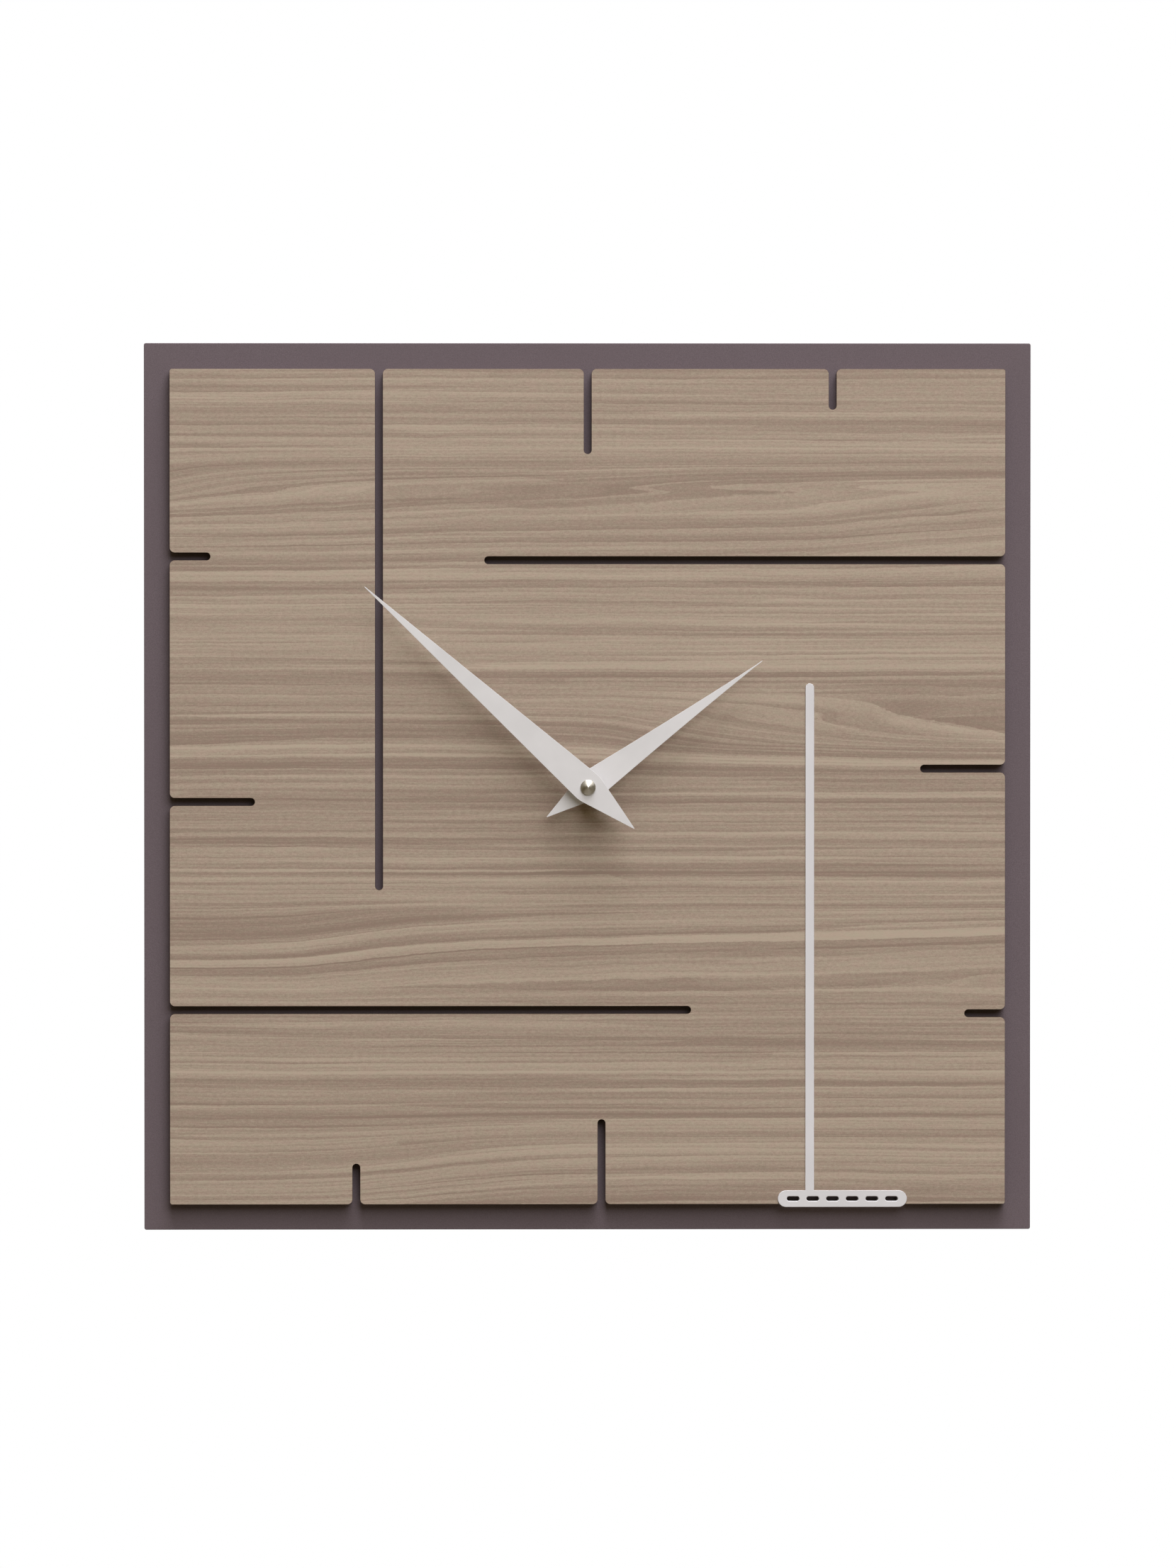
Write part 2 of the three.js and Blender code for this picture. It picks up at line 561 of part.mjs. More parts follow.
function addTrain() {
  const plateShape = rectangle(-26, 26, -10.4, 26);
  plateShape.holes.push(circle(1.7), circle(1.3, SETTING_AT), circle(0.62, THIRD_AT), circle(0.62, ROTOR_AT));
  add("train_plate", prism(plateShape, LAYER.plate, 6), WHEEL_PLASTIC);

  const hub = LAYER.intermediate[0] + 0.2;
  const intermediate = wheelOf(ROTOR_PAIR, LAYER.intermediate, ROTOR_AT, INTERMEDIATE_AT)
    .add(pinionOf(SECOND_PAIR, [-9.2, -10.8]))
    .add(rod(1.2, [hub, -9.2], 12))
    .subtract(rod(POST + 0.1, [-8, -11], 12));
  add("intermediate_wheel", intermediate, WHEEL_PLASTIC, INTERMEDIATE_AT);

  const rear = CASE_RIM - 0.55;
  const second = wheelOf(SECOND_PAIR, LAYER.second, INTERMEDIATE_AT, AXIS)
    .add(pinionOf(THIRD_PAIR, [-10.4, -11.9]))
    .add(rod(ARBOR, [rear, -13.4], 12));
  add("second_wheel", second, WHEEL_PLASTIC);

  const third = wheelOf(THIRD_PAIR, LAYER.third, AXIS, THIRD_AT)
    .add(pinionOf(CENTRE_PAIR, [-11.5, -13.2]))
    .add(rod(ARBOR, [rear, LAYER.plate[1] + 0.3], 12));
  add("third_wheel", third, WHEEL_PLASTIC, THIRD_AT);

  const centre = wheelOf(CENTRE_PAIR, LAYER.centre, THIRD_AT, AXIS).subtract(rod(SHAFT.radius + 0.1, [-12, -14]));
  add("centre_wheel", centre, WHEEL_PLASTIC);
}

// ---- motion work: the shaft, wheels and knob that carry and set the hands ----

function addMotionWork() {
  const rear = LAYER.centre[0] + 0.1;
  const shaft = turned([
    [0, SHAFT.tip], [SHAFT.thread - 0.2, SHAFT.tip], [SHAFT.thread, SHAFT.tip + 0.2], [SHAFT.thread, SHAFT.shoulder],
    [SHAFT.radius, SHAFT.shoulder], [SHAFT.radius, rear], [0, rear],
  ])
    .add(pinionOf(SETTING_PAIR, [-14.6, -16]))
    .subtract(rod(ARBOR + 0.1, [rear + 1, -13.6], 12));
  add("minute_shaft", shaft, BRASS);

  const setting = wheelOf(SETTING_PAIR, LAYER.setting, AXIS, SETTING_AT)
    .add(pinionOf(HOUR_PAIR, [-15.5, -17.6]))
    .add(rod(1, [-3, -16], 12))
    .add(rod(0.5, [-17, -18.5], 12));
  add("setting_wheel", setting, WHEEL_PLASTIC, SETTING_AT);

  const { radius, front, back, ribs } = KNOB;
  const rim = [];
  for (let i = 0; i < 2 * ribs; i++) {
    const [x, z] = polar(AXIS, radius - 0.35 * (i % 2), (180 * i) / ribs);
    rim.push(new THREE.Vector2(x, z));
  }
  const knob = prism(new THREE.Shape(rim), [back, front]).subtract(rod(1.1, [-2.9, front - 1], 12));
  add("setting_knob", knob, KNOB_PLASTIC, SETTING_AT);

  const hour = wheelOf(HOUR_PAIR, LAYER.hour, SETTING_AT, AXIS)
    .add(rod(TUBE.radius, [LAYER.hour[0], TUBE.tip]))
    .subtract(rod(TUBE.bore, [LAYER.hour[0] + 1, TUBE.tip - 1]));
  add("hour_wheel", hour, BRASS);
}

// ---- hands ----

function addHands() {
  const hourBack = TUBE.tip + 1.5;
  const hour = prism(hourOutline(), [hourBack, hourBack - HAND_THICK])
    .subtract(rod(TUBE.radius + 0.08, [hourBack + 1, hourBack - 2]));
  add("hour_hand", hour, HAND_PAINT, AXIS, HOUR.turn);

  const minuteFront = SHAFT.shoulder - HAND_THICK;
  const minute = prism(minuteOutline(), [SHAFT.shoulder, minuteFront])
    .subtract(rod(SHAFT.thread + 0.08, [SHAFT.shoulder + 1, minuteFront - 1]));
  add("minute_hand", minute, HAND_PAINT, AXIS, MINUTE.turn);

  const base = minuteFront - 0.05;
  const apex = base - CAP.height;
  const cap = turned([
    [0, apex], [0.3, apex], [CAP.radius, base - CAP.skirt], [CAP.radius, base], [0, base],
  ]);
  add("cap_nut", cap.subtract(rod(SHAFT.thread + 0.08, [base + 1, SHAFT.tip - 0.2])), STEEL);
}

addFace();
addBackFrame();
addCase();
addBattery();
addMotor();
addCircuit();
addTrain();
addMotionWork();
addHands();

export default clock;
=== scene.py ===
"""The looks of the square wall clock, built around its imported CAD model.

Metres. +X is right and +Z is up as seen from the front, the face looks along -Y and the wall is y = 0.
"""
import math

import bmesh
import bpy
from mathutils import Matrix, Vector


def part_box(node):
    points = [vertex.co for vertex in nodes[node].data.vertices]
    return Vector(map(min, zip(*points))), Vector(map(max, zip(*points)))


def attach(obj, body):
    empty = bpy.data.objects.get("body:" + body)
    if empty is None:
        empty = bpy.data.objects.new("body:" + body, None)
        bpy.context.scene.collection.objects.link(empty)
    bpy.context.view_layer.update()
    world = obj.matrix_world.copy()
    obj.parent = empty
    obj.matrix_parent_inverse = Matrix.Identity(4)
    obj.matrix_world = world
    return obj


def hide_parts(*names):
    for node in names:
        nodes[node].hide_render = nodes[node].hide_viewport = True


MM = 0.001

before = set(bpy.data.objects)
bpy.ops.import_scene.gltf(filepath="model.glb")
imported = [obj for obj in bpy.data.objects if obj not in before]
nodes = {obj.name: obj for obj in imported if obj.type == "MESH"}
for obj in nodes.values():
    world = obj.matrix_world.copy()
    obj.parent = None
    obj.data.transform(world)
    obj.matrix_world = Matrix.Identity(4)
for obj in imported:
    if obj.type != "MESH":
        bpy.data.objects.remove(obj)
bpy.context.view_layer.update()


# ---- camera, light and stage ----

def make_camera():
    """A long lens, a little left of the clock's axis and above it."""
    distance = 5.0
    left, up = math.radians(0.9), math.radians(1.0)
    target = Vector((0.24 * MM, -26 * MM, 1.34 * MM))
    data = bpy.data.cameras.new("camera")
    data.sensor_width = 36
    frame_height = 0.7961  # metres of the face's plane that the picture's long side takes in
    data.lens = data.sensor_width * distance / frame_height
    data.clip_end = 50
    camera = bpy.data.objects.new("camera", data)
    away = Vector((-math.sin(left) * math.cos(up), -math.cos(left) * math.cos(up), math.sin(up)))
    camera.location = target + distance * away
    camera.rotation_euler = (-away).to_track_quat("-Z", "Y").to_euler()
    bpy.context.scene.collection.objects.link(camera)
    bpy.context.scene.camera = camera


def area_light(name, location, size, power, color=(1, 1, 1)):
    """A soft rectangular light that looks at the clock's middle."""
    data = bpy.data.lights.new(name, "AREA")
    data.shape = "RECTANGLE"
    data.size, data.size_y = size
    data.energy = power
    data.color = color
    light = bpy.data.objects.new(name, data)
    light.location = location
    light.rotation_euler = (-Vector(location)).to_track_quat("-Z", "Y").to_euler()
    bpy.context.scene.collection.objects.link(light)


def make_world():
    """A warm dim fill, seen by the camera as a white background."""
    world = bpy.data.worlds.new("studio")
    bpy.context.scene.world = world
    world.use_nodes = True
    tree = world.node_tree
    tree.nodes.clear()
    fill = tree.nodes.new("ShaderNodeBackground")
    fill.inputs["Color"].default_value = (1.0, 0.80, 0.42, 1)
    fill.inputs["Strength"].default_value = 0.165
    white = tree.nodes.new("ShaderNodeBackground")
    white.inputs["Color"].default_value = (1, 1, 1, 1)
    white.inputs["Strength"].default_value = 1.0
    path = tree.nodes.new("ShaderNodeLightPath")
    mix = tree.nodes.new("ShaderNodeMixShader")
    out = tree.nodes.new("ShaderNodeOutputWorld")
    tree.links.new(path.outputs["Is Camera Ray"], mix.inputs["Fac"])
    tree.links.new(fill.outputs[0], mix.inputs[1])
    tree.links.new(white.outputs[0], mix.inputs[2])
    tree.links.new(mix.outputs[0], out.inputs["Surface"])


def make_stage():
    """Two large soft lights high in front and a little to the right, two behind, and a floor far below."""
    make_world()
    daylight = (0.98, 1.0, 1.05)
    area_light("key", (1.68, -4.93, 3.87), (4.3, 4.6), 268, daylight)
    area_light("top", (0.95, -1.48, 6.79), (5.2, 4.1), 930, daylight)
    area_light("back_right", (-1.8, 2.2, 1.4), (1.8, 1.8), 60)
    area_light("back_left", (1.6, 2.6, 0.4), (1.8, 1.8), 55)
    bpy.ops.mesh.primitive_grid_add(x_subdivisions=12, y_subdivisions=8, size=1, location=(0, 0.2, -1.2))
    floor = bpy.context.object
    floor.scale = (1.8, 1.2, 1)
    floor.name = "floor"
    m = Finish("floor", (0.82, 0.81, 0.8), roughness=0.8)
    grain = m.noise(m.even(14), 3)
    m.color(m.blend(m.between(grain, 0.3, 0.7), (0.80, 0.79, 0.78), (0.84, 0.83, 0.82)))
    floor.data.materials.append(m.material)
    bpy.context.scene.view_settings.view_transform = "Standard"


# ---- materials ----

class Finish:
    """A procedural material in the making. Coordinates are the object's own, in millimetres."""

    def __init__(self, name, color, roughness=0.5, metallic=0.0, specular=0.5):
        self.material = bpy.data.materials.new(name)
        self.material.use_nodes = True
        self.tree = self.material.node_tree
        self.shader = self.tree.nodes["Principled BSDF"]
        self.set("Base Color", srgb(*color))
        self.set("Roughness", roughness)
        self.set("Metallic", metallic)
        self.set("Specular IOR Level", specular)
        coordinates = self.tree.nodes.new("ShaderNodeTexCoord")
        self.place = self.vector("SCALE", coordinates.outputs["Object"], scale=1000)

    def set(self, socket, value):
        self.shader.inputs[socket].default_value = value

    def link(self, value, socket):
        if isinstance(value, bpy.types.NodeSocket):
            self.tree.links.new(value, socket)
        elif isinstance(value, tuple) and len(value) == 3:
            socket.default_value = srgb(*value) if socket.type == "RGBA" else value
        else:
            socket.default_value = value

    def vector(self, operation, a, b=None, scale=None):
        node = self.tree.nodes.new("ShaderNodeVectorMath")
        node.operation = operation
        self.link(a, node.inputs[0])
        if b is not None:
            self.link(b, node.inputs[1])
        if scale is not None:
            self.link(scale, node.inputs["Scale"])
        return node.outputs[0]

    def scaled(self, x, y, z):
        """Coordinates counted per metre in each direction."""
        return self.vector("MULTIPLY", self.place, (x * MM, y * MM, z * MM))

    def even(self, count):
        """Coordinates counted per metre, alike in all directions."""
        return self.scaled(count, count, count)

    def axes(self, place=None):
        node = self.tree.nodes.new("ShaderNodeSeparateXYZ")
        self.link(place or self.place, node.inputs[0])
        return node.outputs

    def combine(self, x, y, z):
        node = self.tree.nodes.new("ShaderNodeCombineXYZ")
        for value, socket in zip((x, y, z), node.inputs):
            self.link(value, socket)
        return node.outputs[0]

    def math(self, operation, a, b=None, c=None, clamp=False):
        node = self.tree.nodes.new("ShaderNodeMath")
        node.operation = operation
        node.use_clamp = clamp
        for value, socket in zip((a, b, c), node.inputs):
            if value is not None:
                self.link(value, socket)
        return node.outputs[0]

    def product(self, a, b):
        return self.math("MULTIPLY", a, b)

    def add(self, value, amount, total=0.0):
        """The total with so much of the value added."""
        return self.math("MULTIPLY_ADD", value, amount, total)

    def centred(self, value):
        return self.math("SUBTRACT", value, 0.5)

    def between(self, value, low, high, to_low=0.0, to_high=1.0):
        """A smooth step of value from low to high."""
        node = self.tree.nodes.new("ShaderNodeMapRange")
        node.interpolation_type = "SMOOTHSTEP"
        for name, number in (("Value", value), ("From Min", low), ("From Max", high),
                             ("To Min", to_low), ("To Max", to_high)):
            self.link(number, node.inputs[name])
        return node.outputs[0]

    def curve(self, value, points):
        """Value through a smooth curve of (value, result) points, with results from 0 to 1."""
        low, high = points[0][0], points[-1][0]
        share = self.math("DIVIDE", self.math("SUBTRACT", value, low), high - low, clamp=True)
        node = self.tree.nodes.new("ShaderNodeFloatCurve")
        curve = node.mapping.curves[0]
        spots = [((at - low) / (high - low), result) for at, result in points]
        curve.points[0].location = spots[0]
        curve.points[-1].location = spots[-1]
        for spot in spots[1:-1]:
            curve.points.new(*spot)
        node.mapping.update()
        self.link(share, node.inputs["Value"])
        return node.outputs[0]

    def noise(self, place, detail=2.0, roughness=0.5, distortion=0.0):
        node = self.tree.nodes.new("ShaderNodeTexNoise")
        self.link(place, node.inputs["Vector"])
        node.inputs["Scale"].default_value = 1.0
        node.inputs["Detail"].default_value = detail
        node.inputs["Roughness"].default_value = roughness
        node.inputs["Distortion"].default_value = distortion
        return node.outputs["Fac"]

    def blend(self, factor, a, b):
        node = self.tree.nodes.new("ShaderNodeMix")
        node.data_type = "RGBA"
        self.link(factor, node.inputs["Factor"])
        self.link(a, node.inputs["A"])
        self.link(b, node.inputs["B"])
        return node.outputs["Result"]

    def color(self, value):
        self.link(value, self.shader.inputs["Base Color"])

    def rough(self, value):
        self.link(value, self.shader.inputs["Roughness"])

    def bump(self, height, depth_mm):
        node = self.tree.nodes.new("ShaderNodeBump")
        node.inputs["Strength"].default_value = 1.0
        node.inputs["Distance"].default_value = depth_mm * MM
        self.link(height, node.inputs["Height"])
        self.tree.links.new(node.outputs["Normal"], self.shader.inputs["Normal"])


def srgb(r, g, b):
    """Display values, 0 to 1, as the linear colour that nodes take."""
    def linear(c):
        return c / 12.92 if c <= 0.04045 else ((c + 0.055) / 1.055) ** 2.4
    return (linear(r), linear(g), linear(b), 1.0)


def tone(r, g, b):
    """A colour given in 0 to 255."""
    return (r / 255, g / 255, b / 255)


class Veneer(Finish):
    """Greige walnut veneer: level bands with crisp, slightly ragged edges that climb in a few places."""

    def __init__(self):
        super().__init__("veneer", tone(157, 139, 123), roughness=0.62, specular=0.35)
        self.x, _, self.z = self.axes()
        sway = self.centred(self.noise(self.scaled(5, 0, 14), 1))
        ripple = self.centred(self.noise(self.scaled(45, 0, 90), 2))
        ragged = self.centred(self.noise(self.scaled(260, 0, 420), 3, 0.65))
        level = self.math("SUBTRACT", self.z, self.climb())
        level = self.add(sway, 3.0, level)
        level = self.add(ripple, 1.1, level)
        self.level = self.add(ragged, 0.55, level)

    def across(self, points):
        """A share that changes with x. The first and last points are the shares at the panel's sides."""
        side = 212
        return self.curve(self.x, [(-side, points[0]), *points[1:-1], (side, points[-1])])

    def climb(self):
        """How far the grain through each point has climbed above its level at the left side."""
        total = 0.0
        # Of each place: millimetres climbed, its course upwards as (z, share), and its course across.
        for height, upwards, sideways in (
            (10, [(-212, 0.7), (-186, 1), (-176, 0.6), (-168, 0.2), (-155, 0)],
             [0, (-150, 0.03), (-100, 0.3), (-60, 0.7), (0, 1), 1]),
            (17, [(-112, 0), (-104, 0.12), (-96, 0.47), (-88, 0.71), (-76, 0.96), (-66, 0.97), (-60, 0.3),
                  (-52, 0)],
             [0, (-163, 0.08), (-131, 0.25), (-103, 0.47), (-75, 0.61), (-40, 0.69), (10, 0.74), 1]),
            (-22, [(2, 0), (12, 0.25), (19, 0.7), (24.5, 1), (31, 0.88), (38, 0.5), (45.7, 0.16), (53, 0)],
             [0, (-10, 0), (30, 0.2), (68, 0.46), (113, 0.68), (150, 0.84), 1]),
            (12, [(100, 0), (106, 0.08), (116, 0.45), (127.5, 0.9), (138.5, 0.75), (149, 0.25), (156, 0)],
             [0, (0, 0.32), (90, 0.4), (150, 0.7), 1]),
            (20.6, [(130, 0), (138.5, 0.15), (144.5, 0.42), (149, 0.66), (156, 1), (164, 0.5), (172, 0)],
             [0, (-110, 0.54), (0, 0.66), (60, 0.83), (106, 0.91), (151, 0.97), 1]),
        ):
            share = self.product(self.curve(self.z, upwards), self.across(sideways))
            total = self.add(share, height, total)
        return total

    def along(self, length, thickness, place=0.0):
        """Coordinates in units of a streak's length and thickness."""
        x = self.math("DIVIDE", self.x, length)
        return self.combine(x, self.math("DIVIDE", self.level, thickness), place)

    def bands(self, length, thickness, place):
        """Long level cells: a random tone for each, and the place across it from -0.5 to 0.5."""
        node = self.tree.nodes.new("ShaderNodeTexVoronoi")
        node.voronoi_dimensions = "2D"
        spot = self.vector("ADD", self.along(length, thickness), (place, place * 1.7, 0.0))
        self.link(spot, node.inputs["Vector"])
        node.inputs["Scale"].default_value = 1.0
        shade = self.axes(node.outputs["Color"])[0]
        height = self.math("SUBTRACT", self.axes(spot)[1], self.axes(node.outputs["Position"])[1])
        return self.centred(shade), height

    def streaks(self):
        """The random grain, as a tone from about -1 (dark) to 1 (light)."""
        wide, wide_height = self.bands(420, 8.5, 13.3)
        narrow, narrow_height = self.bands(300, 3.0, 28.1)
        thin, _ = self.bands(170, 1.25, 5.4)
        fine = self.centred(self.noise(self.along(60, 0.8), 2, 0.6))
        shade = 0.0
        for part, amount in ((wide, 0.42), (wide_height, 0.2), (narrow, 1.1), (narrow_height, 0.55),
                             (thin, 0.85), (fine, 1.7)):
            shade = self.add(part, amount, shade)
        return shade

    def figured(self, shade):
        """The tone with the bands that stand out in this panel."""
        to_left = self.across([1, (-150, 1), (-90, 0.75), (-20, 0.2), 0])
        to_right = self.across([0, (-110, 0.1), (-20, 0.7), 1])
        # Lower and upper level, softness of each, and the tone added, which may fade towards one side.
        for low, high, soft_low, soft_high, amount, *fades in (
            (128, 135.8, 4, 0.15, 0.55),
            (135.8, 143, 0.15, 6, -0.5, to_right),
            (-91.8, -87.9, 0.2, 0.2, 1.15),
            (-97.0, -91.9, 0.3, 0.2, -0.95),
            (-102.5, -99, 0.6, 0.4, 0.7),
            (-78.2, -64, 0.2, 3, -0.8, to_left),
            (-45.4, -42.8, 0.3, 0.3, -0.9),
            (-48.2, -46.2, 0.3, 0.3, 0.7),
            (-52.6, -51.6, 0.2, 0.2, 0.7),
            (-61.8, -60.4, 0.3, 0.3, 0.5),
            (-28.5, -25.8, 0.4, 0.6, -0.6),
            (-11.5, -6, 0.6, 0.6, -0.5),
            (14, 20, 0.5, 0.3, 0.7),
            (20.4, 27.5, 0.3, 1.5, -0.55),
            (5.5, 12, 0.6, 0.5, -0.55),
            (52, 56, 0.6, 0.6, -0.4),
            (59.5, 62, 0.4, 0.4, 0.6),
            (66, 77, 0.5, 0.5, 0.4),
            (-131.5, -128.5, 0.5, 0.5, -0.6),
            (-145.2, -144, 0.3, 0.2, 0.9),
            (-151, -148.5, 0.5, 0.5, -0.5),
            (-168.6, -167.2, 0.3, 0.3, -0.5),
            (-171.8, -170, 0.3, 0.3, 0.6),
            (196, 200, 0.5, 0.5, 0.5),
            (169.5, 172.5, 0.5, 0.5, 0.45),
        ):
            above = self.between(self.level, low - soft_low, low + soft_low)
            below = self.between(self.level, high - soft_high, high + soft_high, 1.0, 0.0)
            band = self.product(above, below)
            for fade in fades:
                band = self.product(band, fade)
            shade = self.add(band, amount, shade)
        return shade

    def torn(self, shade):
        """The tone with a pale tongue, torn to a point at the right, and a dark wedge above its point."""
        tear = self.centred(self.noise(self.scaled(110, 0, 260), 3, 0.65))
        fall = self.across([1, (0, 1), (68, 0.94), (120, 0.84), (143, 0.7), (152, 0.56), (158, 0.42),
                            (170, 0.34), 0])
        edge = self.add(fall, 22, 27)
        depth = self.add(self.between(self.x, 120, 160), 4, 0.6)
        above = self.add(tear, depth, self.math("SUBTRACT", self.z, edge))
        tongue = self.product(self.between(above, -9, -3), self.between(above, -0.2, 0.1, 1.0, 0.0))
        wedge = self.product(self.between(above, -0.1, 0.3), self.between(self.z, 41, 48, 1.0, 0.0))
        shade = self.add(self.product(tongue, self.between(self.x, -40, 60)), 0.6, shade)
        return self.add(self.product(wedge, self.between(self.x, 118, 165)), -0.75, shade)


def veneer():
    """The panel's face: its grain, fuzz and pores, tinted a little mauve in some patches and a little
    greenish grey in others.
    """
    m = Veneer()
    shade = m.torn(m.figured(m.streaks()))
    fuzz = m.centred(m.noise(m.scaled(420, 0, 1150), 3, 0.75))
    speck = m.centred(m.noise(m.scaled(1300, 0, 2100), 2, 0.75))
    pores = m.between(m.noise(m.along(3.2, 0.42, 4.4), 2, 0.5), 0.62, 0.74)
    shade = m.add(fuzz, 2.9, shade)
    shade = m.add(speck, 2.4, shade)
    shade = m.add(pores, -0.28, shade)
    wood = m.blend(m.between(shade, -1.7, 1.7), tone(139, 119.5, 105.5), tone(178, 161.5, 144))
    cast = m.noise(m.scaled(120, 0, 420), 2, 0.6)
    mauve = m.vector("MULTIPLY", wood, (1.02, 0.985, 0.99))
    green = m.vector("MULTIPLY", wood, (0.985, 1.01, 0.985))
    m.color(m.blend(m.between(cast, 0.35, 0.65), mauve, green))
    m.rough(m.between(fuzz, -0.2, 0.2, 0.56, 0.7))
    m.bump(m.add(pores, -0.4, fuzz), 0.025)
    return m.material


def cut_edge():
    """The tool-cut edge of the veneered board, stained dark brown."""
    m = Finish("cut_edge", tone(88, 70, 56), roughness=0.8, specular=0.2)
    layers = m.noise(m.scaled(40, 1800, 40), 3, 0.6)
    fuzz = m.noise(m.even(900), 2, 0.6)
    shade = m.add(fuzz, 0.5, m.product(layers, 0.6))
    m.color(m.blend(m.between(shade, 0.35, 0.75), tone(72, 56, 44), tone(104, 85, 69)))
    m.bump(fuzz, 0.08)
    return m.material


def lacquer():
    """Dark plum-grey sprayed lacquer with a fine dry texture."""
    m = Finish("lacquer", tone(101, 88, 93), roughness=0.62, specular=0.4)
    texture = m.noise(m.even(2300), 3, 0.65)
    cloud = m.noise(m.even(16), 2)
    base = m.blend(m.between(texture, 0.32, 0.68), tone(92, 79, 84), tone(108, 95, 100))
    m.color(m.blend(m.between(cloud, 0.35, 0.65, 0, 0.25), base, tone(97, 84, 88)))
    m.rough(m.between(texture, 0.3, 0.7, 0.56, 0.7))
    m.bump(texture, 0.035)
    return m.material


def pale_plastic():
    """Pale grey acrylic with a satin skin."""
    m = Finish("pale_acrylic", tone(215, 212, 214), roughness=0.42, specular=0.45)
    skin = m.noise(m.even(2600), 2, 0.6)
    cloud = m.noise(m.even(30), 2)
    m.color(m.blend(m.between(cloud, 0.3, 0.7), tone(212, 209, 211), tone(217, 214, 216)))
    m.rough(m.between(skin, 0.3, 0.7, 0.38, 0.5))
    m.bump(skin, 0.012)
    return m.material


def hand_enamel():
    """Pale matt enamel on sheet metal."""
    m = Finish("hand_enamel", tone(214, 211, 211), roughness=0.48, specular=0.45)
    skin = m.noise(m.even(1700), 3, 0.6)
    cloud = m.noise(m.even(60), 2)
    m.color(m.blend(m.between(cloud, 0.3, 0.7), tone(211, 208, 208), tone(217, 214, 214)))
    m.rough(m.between(skin, 0.3, 0.7, 0.42, 0.56))
    m.bump(skin, 0.012)
    return m.material


def pine(name, along):
    """Planed pine, its grain along one axis: "x" or "z"."""
    m = Finish(name, tone(205, 174, 130), roughness=0.66, specular=0.3)
    fine, coarse = 110, 2.2
    stretch = (coarse, fine, fine) if along == "x" else (fine, fine, coarse)
    wander = m.noise(m.even(7), 1)
    place = m.vector("ADD", m.scaled(*stretch), m.combine(wander, wander, wander))
    rings = m.noise(place, 2, 0.45)
    late = m.between(m.math("PINGPONG", m.product(rings, 14), 1), 0.35, 0.95)
    fibre_scale = (35, 1500, 1500) if along == "x" else (1500, 1500, 35)
    fibre = m.noise(m.scaled(*fibre_scale), 3, 0.6)
    wood = m.blend(m.product(late, 0.6), tone(214, 186, 143), tone(178, 138, 92))
    m.color(m.blend(m.between(fibre, 0.45, 0.75, 0, 0.35), wood, tone(160, 122, 82)))
    m.rough(m.between(late, 0, 1, 0.7, 0.58))
    m.bump(fibre, 0.06)
    return m.material


def felt():
    """Dark grey pressed felt."""
    m = Finish("felt", tone(62, 59, 56), roughness=0.95, specular=0.1)
    m.set("Sheen Weight", 0.5)
    m.set("Sheen Roughness", 0.5)
    tuft = m.noise(m.even(1400), 4, 0.7, 0.8)
    m.color(m.blend(m.between(tuft, 0.3, 0.7), tone(46, 43, 41), tone(78, 74, 70)))
    m.bump(tuft, 0.35)
    return m.material


def metal(name, color, roughness, streaks=(900, 900, 900), bump_mm=0.004):
    """A metal with fine tool marks and a little unevenness in its shine."""
    m = Finish(name, color, roughness=roughness, metallic=1.0)
    marks = m.noise(m.scaled(*streaks), 3, 0.6)
    cloud = m.noise(m.even(220), 3, 0.6)
    dark = tuple(c * 0.88 for c in color)
    m.color(m.blend(m.between(cloud, 0.3, 0.7), dark, color))
    m.rough(m.between(marks, 0.3, 0.7, roughness * 0.8, roughness * 1.25))
    m.bump(marks, bump_mm)
    return m.material


def turned_metal(name, color, roughness, rings_per_mm=9):
    """Metal faced on a lathe about the clock's axis: fine rings round that axis."""
    m = Finish(name, color, roughness=roughness, metallic=1.0)
    x, _, z = m.axes()
    radius = m.math("SQRT", m.math("ADD", m.product(x, x), m.product(z, z)))
    wave = m.math("SINE", m.product(radius, rings_per_mm * 2 * math.pi))
    cloud = m.noise(m.even(500), 2)
    m.color(m.blend(m.between(cloud, 0.3, 0.7), tuple(c * 0.92 for c in color), color))
    m.rough(m.between(cloud, 0.3, 0.7, roughness * 0.85, roughness * 1.15))
    m.bump(wave, 0.0012)
    return m.material


def plastic(name, color, roughness, texture_mm, per_metre, spread):
    """Moulded plastic with a fine spark-eroded texture."""
    m = Finish(name, color, roughness=roughness)
    skin = m.noise(m.even(per_metre), 3, 0.6)
    cloud = m.noise(m.even(45), 2)
    m.color(m.blend(m.between(cloud, 0.3, 0.7), tuple(c * (1 - spread) for c in color), color))
    m.rough(m.between(skin, 0.3, 0.7, roughness * 0.88, min(1.0, roughness * 1.12)))
    m.bump(skin, texture_mm)
    return m.material


def winding():
    """Enamelled copper wire wound close about X, with painted shade in the grooves between turns and a
    painted highlight along their crests.
    """
    m = Finish("winding", tone(176, 100, 52), roughness=0.32, metallic=1.0)
    x, _, _ = m.axes()
    wire_pitch = 0.12
    turn_relief_and_shade = m.math("SINE", m.product(x, 2 * math.pi / wire_pitch))
    # Painted shade in the grooves between turns and painted highlight along them; the same wave also
    # drives the bump.
    m.color(m.blend(m.between(turn_relief_and_shade, -1, 1), tone(112, 58, 28), tone(196, 116, 62)))
    m.bump(turn_relief_and_shade, 0.02)
    return m.material


